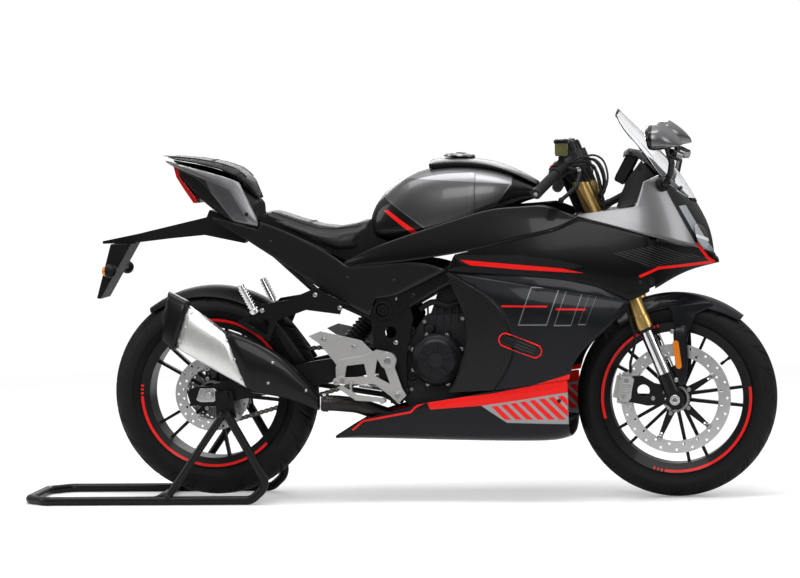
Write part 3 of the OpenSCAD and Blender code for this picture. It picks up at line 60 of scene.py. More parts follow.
FRONT_AXLE = Vector(JOINTS["front_wheel_spin"]["pos_m"])
FORK_UP = Vector(JOINTS["steering"]["axis"]).normalized()
FORK_AHEAD = Vector((FORK_UP.z, 0.0, -FORK_UP.x))
RIGHT, LEFT = -1, 1


def at(x, y, z):
    """A place in millimetres, X counted from the rear axle, as a place in the frame."""
    return Vector((REAR_AXLE.x + x * MM, y * MM, z * MM))


def on_fork(ahead, y, up):
    """A place in millimetres from the front axle, measured along the fork's own directions."""
    return FRONT_AXLE + FORK_AHEAD * (ahead * MM) + FORK_UP * (up * MM) + Vector((0.0, y * MM, 0.0))


# Colours, linear
RED = (0.78, 0.010, 0.008)
# Pale colour of a reflection painted on the dark lamp glass
LENS_REFLECTION_PALE = (0.34, 0.37, 0.40)
CHARCOAL = (0.007, 0.0075, 0.0095)
BLACK = (0.003, 0.003, 0.0035)
SATIN_BLACK = (0.004, 0.004, 0.0045)
SILVER = (0.19, 0.19, 0.195)
GREY = (0.085, 0.085, 0.09)
PALE_GREY = (0.30, 0.31, 0.31)
LINE_GREY = (0.16, 0.16, 0.165)
FIBRE = (0.018, 0.018, 0.019)


class Tree:
    """Short words for wiring a node tree."""

    def __init__(self, tree):
        self.tree = tree

    def node(self, kind, **settings):
        made = self.tree.nodes.new(kind)
        for key, value in settings.items():
            setattr(made, key, value)
        return made

    def feed(self, socket, value):
        if isinstance(value, bpy.types.NodeSocket):
            self.tree.links.new(value, socket)
        elif isinstance(value, (tuple, list, Vector)) and len(value) == 3 and socket.type == "RGBA":
            socket.default_value = (*value, 1.0)
        else:
            socket.default_value = value

    def math(self, operation, a, b=0.0, c=0.0):
        made = self.node("ShaderNodeMath", operation=operation)
        for socket, value in zip(made.inputs, (a, b, c)):
            self.feed(socket, value)
        return made.outputs[0]

    def ramp(self, value, low, high, to_low=0.0, to_high=1.0):
        made = self.node("ShaderNodeMapRange")
        for name, given in (
            ("Value", value), ("From Min", low), ("From Max", high), ("To Min", to_low), ("To Max", to_high),
        ):
            self.feed(made.inputs[name], given)
        return made.outputs[0]

    def vector(self, operation, a, b=(0.0, 0.0, 0.0)):
        made = self.node("ShaderNodeVectorMath", operation=operation)
        self.feed(made.inputs[0], a)
        self.feed(made.inputs[1], b)
        return made.outputs["Value" if operation in ("DOT_PRODUCT", "LENGTH", "DISTANCE") else "Vector"]

    def mix(self, factor, a, b):
        made = self.node("ShaderNodeMix", data_type="RGBA")
        self.feed(made.inputs[0], factor)
        self.feed(made.inputs[6], a)
        self.feed(made.inputs[7], b)
        return made.outputs[2]

    def noise(self, coordinates, scale, detail=3.0, rough=0.55):
        made = self.node("ShaderNodeTexNoise")
        for name, given in (
            ("Vector", coordinates), ("Scale", scale), ("Detail", detail), ("Roughness", rough),
        ):
            self.feed(made.inputs[name], given)
        return made.outputs[0]

    def axes(self, coordinates):
        made = self.node("ShaderNodeSeparateXYZ")
        self.feed(made.inputs[0], coordinates)
        return made.outputs[0], made.outputs[1], made.outputs[2]

    def place(self):
        return self.node("ShaderNodeTexCoord").outputs["Object"]

    def bump(self, height, distance, strength=1.0):
        made = self.node("ShaderNodeBump")
        self.feed(made.inputs["Height"], height)
        made.inputs["Distance"].default_value = distance
        made.inputs["Strength"].default_value = strength
        return made.outputs[0]

    def group(self, tree, **values):
        made = self.node("ShaderNodeGroup", node_tree=tree)
        for name, value in values.items():
            self.feed(made.inputs[name.replace("_", " ")], value)
        return made.outputs


def shader_group(name, inputs, outputs):
    """An empty node group with named sockets, and the words to wire it."""
    tree = bpy.data.node_groups.new(name, "ShaderNodeTree")
    for socket, kind in inputs:
        tree.interface.new_socket(socket, in_out="INPUT", socket_type=kind)
    for socket, kind in outputs:
        tree.interface.new_socket(socket, in_out="OUTPUT", socket_type=kind)
    words = Tree(tree)
    return tree, words, words.node("NodeGroupInput").outputs, words.node("NodeGroupOutput").inputs


FLOAT, VECTOR = "NodeSocketFloat", "NodeSocketVector"


def make_side_of_line():
    """1 on the side of a line in X and Z that its normal points to."""
    tree, t, given, out = shader_group(
        "side_of_line", [("Place", VECTOR), ("Normal", VECTOR), ("Offset", FLOAT)], [("Mask", FLOAT)]
    )
    across = t.math("SUBTRACT", t.vector("DOT_PRODUCT", given["Place"], given["Normal"]), given["Offset"])
    t.feed(out["Mask"], t.ramp(across, -0.0003, 0.0003))
    return tree


def make_capsule():
    """Distance in X and Z from a short straight line, for slots with round ends."""
    tree, t, given, out = shader_group(
        "from_short_line", [("Place", VECTOR), ("Start", VECTOR), ("Run", VECTOR)], [("Distance", FLOAT)]
    )
    flat = t.vector("MULTIPLY", given["Place"], (1.0, 0.0, 1.0))
    away = t.vector("SUBTRACT", flat, given["Start"])
    along = t.math("DIVIDE", t.vector("DOT_PRODUCT", away, given["Run"]),
                   t.vector("DOT_PRODUCT", given["Run"], given["Run"]))
    held = t.math("MINIMUM", t.math("MAXIMUM", along, 0.0), 1.0)
    scale = t.node("ShaderNodeVectorMath", operation="SCALE")
    t.feed(scale.inputs[0], given["Run"])
    t.feed(scale.inputs["Scale"], held)
    t.feed(out["Distance"], t.vector("DISTANCE", away, scale.outputs[0]))
    return tree


def make_soiling():
    """Broad tone changes and fine specks that every used surface shows."""
    tree, t, given, out = shader_group(
        "soiling",
        [("Place", VECTOR), ("Broad", FLOAT), ("Fine", FLOAT)],
        [("Tone", FLOAT), ("Specks", FLOAT)],
    )
    broad = t.noise(given["Place"], given["Broad"], 4.0, 0.6)
    fine = t.noise(given["Place"], given["Fine"], 2.0, 0.5)
    t.feed(out["Tone"], t.ramp(broad, 0.3, 0.7))
    t.feed(out["Specks"], t.ramp(fine, 0.35, 0.75))
    return tree


def make_twill():
    """Woven fibre, two over and two under, from two flat coordinates counted in threads."""
    tree, t, given, out = shader_group(
        "twill", [("U", FLOAT), ("V", FLOAT)], [("Mask", FLOAT), ("Height", FLOAT)]
    )
    step = t.math("ADD", t.math("FLOOR", given["U"]), t.math("FLOOR", given["V"]))
    over = t.math("LESS_THAN", t.math("FRACT", t.math("DIVIDE", step, 4.0)), 0.5)
    waves = [
        t.math("ABSOLUTE", t.math("SINE", t.math("MULTIPLY", given[axis], pi))) for axis in ("U", "V")
    ]
    height = t.mix(over, waves[0], waves[1])
    t.feed(out["Mask"], over)
    t.feed(out["Height"], height)
    return tree


def make_arc():
    """Band of a ring about an axle, from a start angle over a span, both in turns."""
    tree, t, given, out = shader_group(
        "ring_arc",
        [("Place", VECTOR), ("Radius", FLOAT), ("Half", FLOAT), ("Start", FLOAT), ("Span", FLOAT)],
        [("Mask", FLOAT)],
    )
    x, _, z = t.axes(given["Place"])
    away = t.math("SQRT", t.math("ADD", t.math("MULTIPLY", x, x), t.math("MULTIPLY", z, z)))
    off = t.math("ABSOLUTE", t.math("SUBTRACT", away, given["Radius"]))
    band = t.math("LESS_THAN", off, given["Half"])
    turns = t.math("DIVIDE", t.math("ARCTAN2", z, x), tau)
    within = t.math("LESS_THAN",
                    t.math("FRACT", t.math("ADD", t.math("SUBTRACT", turns, given["Start"]), 2.0)),
                    given["Span"])
    t.feed(out["Mask"], t.math("MULTIPLY", band, within))
    return tree


SIDE_OF_LINE = make_side_of_line()
SHORT_LINE = make_capsule()
SOILING = make_soiling()
TWILL = make_twill()
ARC = make_arc()


def inside(t, place, corners):
    """Mask of a convex outline given by its corners in X and Z, in millimetres from the rear axle."""
    spots = [at(x, 0, z) for x, z in corners]
    middle = sum(spots, Vector()) / len(spots)
    mask = None
    for start, end in zip(spots, spots[1:] + spots[:1]):
        run = end - start
        normal = Vector((-run.z, 0.0, run.x)).normalized()
        if normal.dot(middle - start) < 0:
            normal = -normal
        side = t.group(SIDE_OF_LINE, Place=place, Normal=normal, Offset=normal.dot(start))["Mask"]
        mask = side if mask is None else t.math("MULTIPLY", mask, side)
    return mask


def from_line(t, place, start, end):
    """Distance from a short line in X and Z."""
    a = at(start[0], 0, start[1])
    return t.group(SHORT_LINE, Place=place, Start=a, Run=at(end[0], 0, end[1]) - a)["Distance"]


def within(t, distance, reach):
    """1 where a distance is below a reach in millimetres."""
    return t.ramp(distance, reach * MM + 0.0003, reach * MM - 0.0003)


def either(t, *masks):
    total = masks[0]
    for mask in masks[1:]:
        total = t.math("MAXIMUM", total, mask)
    return total


def without(t, mask, cut):
    return t.math("MULTIPLY", mask, t.math("SUBTRACT", 1.0, cut))


def stripe(t, place, route, half):
    """Mask of a line of even width through several points."""
    return either(t, *[within(t, from_line(t, place, a, b), half) for a, b in zip(route, route[1:])])


def outlines(t, place, shapes):
    return either(t, *[inside(t, place, shape) for shape in shapes])


def finish(name, roughness=0.4, metallic=0.0, coat=0.0, coat_roughness=0.05, specular=0.5):
    material = bpy.data.materials.new(name)
    material.use_nodes = True
    material.node_tree.nodes.clear()
    t = Tree(material.node_tree)
    shader = t.node("ShaderNodeBsdfPrincipled")
    shader.inputs["Roughness"].default_value = roughness
    shader.inputs["Metallic"].default_value = metallic
    shader.inputs["Coat Weight"].default_value = coat
    shader.inputs["Coat Roughness"].default_value = coat_roughness
    shader.inputs["Specular IOR Level"].default_value = specular
    out = t.node("ShaderNodeOutputMaterial")
    t.feed(out.inputs["Surface"], shader.outputs[0])
    return material, t, shader.inputs


def soiled(t, place, colour, rough, spread=0.12, broad=6.0, fine=900.0):
    """A colour and a roughness that vary a little over the surface."""
    marks = t.group(SOILING, Place=place, Broad=broad, Fine=fine)
    if isinstance(colour, bpy.types.NodeSocket):
        toned = t.mix(t.math("MULTIPLY", marks["Tone"], spread), colour, (0.0, 0.0, 0.0))
    else:
        darker = tuple(c * (1 - spread) for c in colour)
        lighter = tuple(min(1.0, c * (1 + spread)) for c in colour)
        toned = t.mix(marks["Tone"], darker, lighter)
    varied = t.ramp(marks["Specks"], 0.0, 1.0, rough * (1 - spread), rough * (1 + spread))
    return toned, varied


def plain(name, colour, rough, metallic=0.0, coat=0.0, grain=0.0, grain_scale=900.0, spread=0.12,
          specular=0.5):
    """A painted, cast or moulded finish with fine grain."""
    material, t, sockets = finish(name, rough, metallic, coat, specular=specular)
    place = t.place()
    toned, varied = soiled(t, place, colour, rough, spread)
    t.feed(sockets["Base Color"], toned)
    t.feed(sockets["Roughness"], varied)
    if grain:
        t.feed(sockets["Normal"], t.bump(t.noise(place, grain_scale, 2.0), grain * MM))
    return material


def brushed(name, colour, rough, direction, strength=0.12):
    """Metal ground in one direction."""
    material, t, sockets = finish(name, rough, 1.0)
    place = t.place()
    lines = t.noise(t.vector("MULTIPLY", place, direction), 1.0, 4.0, 0.7)
    toned, _ = soiled(t, place, colour, rough, 0.1)
    t.feed(sockets["Base Color"],
           t.mix(t.math("MULTIPLY", lines, 0.2), toned, tuple(c * 0.6 for c in colour)))
    t.feed(sockets["Roughness"], t.ramp(lines, 0.3, 0.7, rough * 0.75, rough * 1.3))
    t.feed(sockets["Normal"], t.bump(lines, 0.02 * MM, strength))
    return material


def ground_disc(name, colour, axle):
    """Steel ground in rings about an axle."""
    material, t, sockets = finish(name, 0.26, 1.0)
    place = t.place()
    x, _, z = t.axes(t.vector("SUBTRACT", place, axle))
    away = t.math("SQRT", t.math("ADD", t.math("MULTIPLY", x, x), t.math("MULTIPLY", z, z)))
    joined = t.node("ShaderNodeCombineXYZ")
    t.feed(joined.inputs[0], t.math("MULTIPLY", away, 2600.0))
    rings = t.noise(joined.outputs[0], 1.0, 3.0, 0.7)
    toned, _ = soiled(t, place, colour, 0.26, 0.1, 14.0)
    t.feed(sockets["Base Color"],
           t.mix(t.math("MULTIPLY", rings, 0.4), toned, tuple(c * 0.5 for c in colour)))
    t.feed(sockets["Roughness"], t.ramp(rings, 0.3, 0.7, 0.2, 0.36))
    t.feed(sockets["Normal"], t.bump(rings, 0.02 * MM, 0.2))
    return material


def bare(t, place):
    return []


def lacquer(name, colour, paint=bare, metallic=0.0, rough=0.3, coat=0.3, specular=0.15):
    """Body lacquer: paint() gives (mask, colour, metallic) layers laid over the ground colour."""
    material, t, sockets = finish(name, rough, metallic, coat, 0.04, specular)
    place = t.place()
    ground, metal = colour, metallic
    for mask, over, over_metal in paint(t, place):
        ground = t.mix(mask, ground, over)
        metal = t.math("ADD", t.math("MULTIPLY", metal, t.math("SUBTRACT", 1.0, mask)),
                       t.math("MULTIPLY", mask, over_metal))
    toned, varied = soiled(t, place, ground, rough, 0.05, 5.0, 1600.0)
    t.feed(sockets["Base Color"], toned)
    t.feed(sockets["Roughness"], varied)
    if isinstance(metal, bpy.types.NodeSocket):
        t.feed(sockets["Metallic"], metal)
    peel = t.noise(place, 260.0, 1.0)
    t.feed(sockets["Normal"], t.bump(peel, 0.02 * MM, 0.05))
    return material


def woven(name, second, paint=bare, areas=(), thread=2.4):
    """Woven fibre under clear lacquer, its threads along X and along Y or Z, all over or in some areas."""
    material, t, sockets = finish(name, 0.3, 0.0, 0.1, 0.12, 0.1)
    place = t.place()
    axes = t.axes(place)
    counts = [t.math("DIVIDE", axes[axis], thread * MM) for axis in (0, second)]
    weave = t.group(TWILL, U=counts[0], V=counts[1])
    shown = t.math("MULTIPLY", weave["Mask"], outlines(t, place, areas)) if areas else weave["Mask"]
    ground = t.mix(shown, BLACK, FIBRE)
    for mask, over, _ in paint(t, place):
        ground = t.mix(mask, ground, over)
    t.feed(sockets["Base Color"], ground)
    t.feed(sockets["Roughness"], t.ramp(shown, 0.0, 1.0, 0.28, 0.42))
    t.feed(sockets["Normal"], t.bump(weave["Height"], 0.08 * MM, 0.3))
    return material


# Painted areas, as outlines in X and Z
LOW_BAND = [
    [(649, 299), (839, 321), (811, 286), (659, 275)],
    [(839, 321), (956, 343), (925, 302), (811, 286)],
    [(956, 343), (1090, 383), (1075, 328), (925, 302)],
]
UPPER_STRIPE = [
    [(757, 712), (934, 696), (934, 682), (786, 696)],
    [(934, 696), (1050, 685), (1050, 674), (934, 682)],
    [(1050, 685), (1119, 670), (1050, 674)],
]
WEAVE_AREAS = [
    [(740, 726), (934, 724), (1050, 708), (1119, 690), (1050, 674), (934, 682), (757, 700)],
]
LINED_AREA = [(1198, 725), (1323, 746), (1452, 707), (1307, 680)]
SLANTED_BARS = [
    [(925, 520), (1010, 520), (1050, 632), (965, 632)],
    [(1030, 518), (1080, 518), (1120, 628), (1070, 628)],
    [(1100, 520), (1122, 520), (1162, 622), (1140, 622)],
]
TANK_SILVER = [(531, 893), (651, 802), (856, 864), (904, 926), (904, 1040), (531, 1040)]
TANK_DASH = [(529, 855), (541, 858), (628, 795), (613, 787)]
# Lower side facet of the tank's silver panel, painted darker silver as shade
TANK_SHADED_FACET = [(593, 950), (533, 893), (652, 806), (862, 867), (898, 928)]
# Pale strip of painted reflection on the lamp glass beside the nose
LENS_REFLECTION_STRIP = [(1390, 856), (1408, 858), (1494, 706), (1474, 700)]
NOSE_TRIM = [(1441, 745), (1469, 702), (1484, 690), (1333, 680), (1281, 658)]


def shrunk(shape, share):
    """An outline drawn in towards its middle."""
    x0 = sum(x for x, _ in shape) / len(shape)
    z0 = sum(z for _, z in shape) / len(shape)
    return [(x0 + (x - x0) * share, z0 + (z - z0) * share) for x, z in shape]


def belly_paint(t, place):
    x, _, z = t.axes(place)
    slant = t.math("FRACT", t.math("DIVIDE", t.math("ADD", t.math("ADD", x, z), 4.0), 0.032))
    bars = t.math("MULTIPLY", t.math("LESS_THAN", slant, 0.62),
                  inside(t, place, [(835, 283), (1065, 318), (1065, 245), (880, 245)]))
    return [
        (inside(t, place, [(811, 286), (1071, 326), (1069, 231), (886, 236)]), PALE_GREY, 0.3),
        (bars, RED, 0.0),
        (outlines(t, place, LOW_BAND), RED, 0.0),
        (stripe(t, place, [(426, 214), (456, 240), (601, 267), (616, 282), (649, 299)], 3.0), RED, 0.0),
    ]


def fairing_paint(t, place):
    frames = either(t, *[
        without(t, inside(t, place, shape), inside(t, place, shrunk(shape, 0.93))) for shape in SLANTED_BARS
    ])
    dashes = either(t, within(t, from_line(t, place, (880, 577), (1010, 575)), 2.5),
                    within(t, from_line(t, place, (1040, 567), (1120, 565)), 2.5))
    return [
        (frames, LINE_GREY, 0.4),
        (dashes, RED, 0.0),
        (outlines(t, place, LOW_BAND), RED, 0.0),
    ]


def fine_lines(t, place):
    """Thin slanted lines beside the nose."""
    x, _, z = t.axes(place)
    across = t.math("ADD", t.math("MULTIPLY", x, 0.36), t.math("MULTIPLY", z, 0.93))
    lines = t.math("LESS_THAN", t.math("FRACT", t.math("DIVIDE", across, 0.0068)), 0.24)
    return t.math("MULTIPLY", lines, inside(t, place, LINED_AREA))


def trim_paint(t, place):
    return [(fine_lines(t, place), (0.055, 0.055, 0.058), 0.3), (stripe(t, place, NOSE_TRIM, 4.0), RED, 0.0)]


def upper_paint(t, place):
    return [(outlines(t, place, UPPER_STRIPE), RED, 0.0)] + trim_paint(t, place)


def nose_paint(t, place):
    ahead = inside(t, place, [(1332, 944), (1442, 735), (1620, 690), (1620, 944)])
    return [
        # painted reflection: a pale strip on the lamp glass
        (ahead, BLACK, 0.0), (inside(t, place, LENS_REFLECTION_STRIP), LENS_REFLECTION_PALE, 0.4),
        (stripe(t, place, NOSE_TRIM, 4.0), RED, 0.0),
    ]


def tank_paint(t, place):
    return [
        (inside(t, place, TANK_SILVER), SILVER, 0.85),
        # painted shade: the lower side facet in darker silver
        (inside(t, place, TANK_SHADED_FACET), tuple(c * 0.42 for c in SILVER), 0.85),
        (inside(t, place, TANK_DASH), RED, 0.0),
    ]


def tail_painted_shade(t, place):
    return [
        # Painted shade on the silver cowl: a mid-grey facet, and a near-black area behind it
        (inside(t, place, [(-5, 953), (69, 922), (122, 826), (43, 840)]), GREY, 0.6),
        (inside(t, place, [(-122, 1002), (-5, 953), (43, 840), (0, 830), (-80, 930)]), SATIN_BLACK, 0.2),
    ]


def tube_paint(t, place):
    _, _, z = t.axes(place)
    return [(t.ramp(z, 0.9295, 0.9305), SATIN_BLACK, 0.2)]


def mirror_paint(t, place):
    x, _, z = t.axes(place)
    shell = at(1328, 0, 0).x
    front = t.math("MULTIPLY", t.ramp(x, shell, shell + 0.001), t.ramp(z, 1.026, 1.027))
    return [(front, (0.16, 0.16, 0.165), 0.7)]


def pot_paint(t, place):
    _, _, z = t.axes(place)
    return [(t.ramp(z, 1.0435, 1.0441), SATIN_BLACK, 0.0)]


def rim_paint(axle, arcs):
    """Red bands on the rim, each led in by three short ticks; angles in degrees from ahead, turning up."""
    def paint(t, place):
        from_axle = t.vector("SUBTRACT", place, axle)
        masks = []
        for start, span in arcs:
            marks = [(start, span)] + [(start - 3.0 * k, 1.5) for k in (1, 2, 3)]
            for angle, reach in marks:
                masks.append(t.group(ARC, Place=from_axle, Radius=216.5 * MM, Half=4.0 * MM,
                                     Start=angle / 360.0, Span=reach / 360.0)["Mask"])
        return [(either(t, *masks), RED, 0.0)]
    return paint


def stage():
    """Pale floor that fades to white, soft lamps and a white surround."""
    scene = bpy.context.scene
    scene.view_settings.view_transform = "Standard"
    world = bpy.data.worlds.new("studio")
    scene.world = world
    world.use_nodes = True
    world.node_tree.nodes.clear()
    t = Tree(world.node_tree)
    path = t.node("ShaderNodeLightPath").outputs
    direct = either(t, path["Is Camera Ray"], path["Is Transmission Ray"])
    _, _, rise = t.axes(t.place())
    mirrored = t.ramp(rise, 0.0, 0.8, 0.10, 1.0)
    lit = t.ramp(path["Is Glossy Ray"], 0.0, 1.0, 0.34, mirrored)
    ground = t.node("ShaderNodeBackground")
    t.feed(ground.inputs["Color"], (1.0, 1.0, 1.0))
    t.feed(ground.inputs["Strength"], t.ramp(direct, 0.0, 1.0, lit, 1.0))
    t.feed(t.node("ShaderNodeOutputWorld").inputs["Surface"], ground.outputs[0])

    bpy.ops.mesh.primitive_plane_add(size=80, location=(0, 0, -0.0005))
    floor = bpy.context.object
    floor.name = "floor"
    material, t, sockets = finish("pale_floor", 0.7, specular=0.1)
    place = t.place()
    far = t.ramp(t.vector("LENGTH", place), 1.6, 6.0)
    toned, _ = soiled(t, place, (0.84, 0.84, 0.84), 0.7, 0.01, 2.0, 60.0)
    t.feed(sockets["Base Color"], t.mix(far, toned, (0.0, 0.0, 0.0)))
    path = t.node("ShaderNodeLightPath").outputs
    seen = either(t, path["Is Camera Ray"], path["Is Transmission Ray"])
    sockets["Emission Color"].default_value = (1.0, 1.0, 1.0, 1.0)
    t.feed(sockets["Emission Strength"], t.math("MULTIPLY", seen, t.ramp(far, 0.0, 1.0, 0.22, 1.0)))
    floor.data.materials.append(material)

    def lamp(name, place, aim, size, power):
        light = bpy.data.lights.new(name, "AREA")
        light.shape = "RECTANGLE"
        light.size, light.size_y = size
        light.energy = power
        holder = bpy.data.objects.new(name, light)
        bpy.context.collection.objects.link(holder)
        holder.location = place
        holder.rotation_euler = (Vector(aim) - Vector(place)).to_track_quat("-Z", "Y").to_euler()

    lamp("overhead", (0.0, -0.6, 3.6), (0, 0, 0.5), (4.2, 1.6), 120)
    lamp("camera_side", (0.8, -4.6, 2.6), (0, 0, 0.6), (3.0, 1.6), 80)
    lamp("far_side", (-0.8, 4.4, 2.6), (0, 0, 0.6), (3.0, 1.6), 70)
    lamp("tail_side", (-4.2, -0.8, 1.9), (0, 0, 0.6), (1.6, 1.6), 30)
    lamp("nose_side", (4.4, -1.0, 1.9), (0, 0, 0.6), (1.6, 1.6), 30)


CAMERA_PLACE = at(1961.7, -10725.3, 1186.2)
CAMERA_YAW = 0.1304
CAMERA_PITCH = 0.0524
CAMERA_ROLL = -0.0192
CAMERA_LENS = 164.63


def camera():
    lens = bpy.data.cameras.new("photo_view")
    lens.sensor_width = 36.0
    lens.lens = CAMERA_LENS
    lens.clip_start = 0.5
    lens.clip_end = 200.0
    holder = bpy.data.objects.new("photo_view", lens)
    bpy.context.collection.objects.link(holder)
    ahead = Vector((
        -sin(CAMERA_YAW) * cos(CAMERA_PITCH), cos(CAMERA_YAW) * cos(CAMERA_PITCH), -sin(CAMERA_PITCH)
    ))
    level = Vector((cos(CAMERA_YAW), sin(CAMERA_YAW), 0.0))
    upward = level.cross(ahead)
    right = level * cos(CAMERA_ROLL) + upward * sin(CAMERA_ROLL)
    up = upward * cos(CAMERA_ROLL) - level * sin(CAMERA_ROLL)
    turn = Matrix((right, up, -ahead)).transposed().to_4x4()
    holder.matrix_world = Matrix.Translation(CAMERA_PLACE) @ turn
    bpy.context.scene.camera = holder


def settle(piece, body, slot, *replaced):
    """Puts a finished piece on its body."""
    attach(piece, body)
    if replaced:
        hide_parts(*replaced)
    return piece


def from_node(node, join_angle=30.0):
    """A clean copy of a node's mesh with its triangles joined back into four-sided faces."""
    work = bmesh.new()
    work.from_mesh(NODES[node].data)
    bmesh.ops.remove_doubles(work, verts=work.verts, dist=2e-5)
    bmesh.ops.join_triangles(
        work, faces=work.faces, angle_face_threshold=radians(join_angle), angle_shape_threshold=radians(75)
    )
    return work


def as_piece(name, work, material):
    mesh = bpy.data.meshes.new(name)
    work.normal_update()
    work.to_mesh(mesh)
    work.free()
    mesh.materials.append(material)
    for face in mesh.polygons:
        face.use_smooth = True
    piece = bpy.data.objects.new(name, mesh)
    bpy.context.collection.objects.link(piece)
    return piece


def moulded(node, material, sharp=34.0, crease=0.85, levels=2):
    """A faceted shell carried over as one smooth moulding."""
    work = from_node(node)
    layer = work.edges.layers.float.new("crease_edge")
    for edge in work.edges:
        if len(edge.link_faces) == 2 and edge.calc_face_angle() > radians(sharp):
            edge[layer] = crease
    piece = as_piece(node + "_moulding", work, material)
    rounded = piece.modifiers.new("rounded", "SUBSURF")
    rounded.levels = rounded.render_levels = levels
    return settle(piece, BODY_OF[node], SLOT_OF[node], node)


def broken_edges(piece, width, segments=2):
    bevel = piece.modifiers.new("broken_edges", "BEVEL")
    bevel.width = width * MM
    bevel.segments = segments
    bevel.limit_method = "ANGLE"
    bevel.angle_limit = radians(32)
    bevel.use_clamp_overlap = True
    piece.modifiers.new("shading", "WEIGHTED_NORMAL")


# Radius that takes in the rear spindle but not its spacers, and the share of it that is taken off
SPINDLE_REACH = 10.5
SPINDLE_THINNED = 0.05


def draw_in(work, axle, reach, share):
    """Makes a spindle a little thinner, so that the facets of the hub clear it as they turn."""
    for vertex in work.verts:
        away = vertex.co - axle
        away.y = 0.0
        if away.length < reach * MM:
            vertex.co -= away * share


def machined(node, material, edge=1.2, flat=1.0):
    """A turned, cut or cast piece with its edges broken."""
    work = from_node(node, 0.5)
    if node == "rear_axle":
        draw_in(work, REAR_AXLE, SPINDLE_REACH, SPINDLE_THINNED)
    bmesh.ops.dissolve_limit(work, angle_limit=radians(flat), verts=work.verts, edges=work.edges)
    piece = as_piece(node + "_piece", work, material)
    broken_edges(piece, edge)
    return settle(piece, BODY_OF[node], SLOT_OF[node], node)


SURFACES = {}


def surface_of(node):
    """Search tree of a node's solid."""
    if node not in SURFACES:
        mesh = NODES[node].data
        SURFACES[node] = BVHTree.FromPolygons(
            [vertex.co.copy() for vertex in mesh.vertices], [tuple(face.vertices) for face in mesh.polygons]
        )
    return SURFACES[node]


def side_spot(node, x, z, side):
    """Place and outward direction on a node's side, met from the right or the left."""
    spot, normal, _, _ = surface_of(node).ray_cast(at(x, side * 900.0, z), Vector((0.0, -side, 0.0)))
    return spot, normal


def top_spot(node, x, y):
    """Place and outward direction on a node's top."""
    spot, normal, _, _ = surface_of(node).ray_cast(at(x, y, 1600.0), Vector((0.0, 0.0, -1.0)))
    return spot, normal


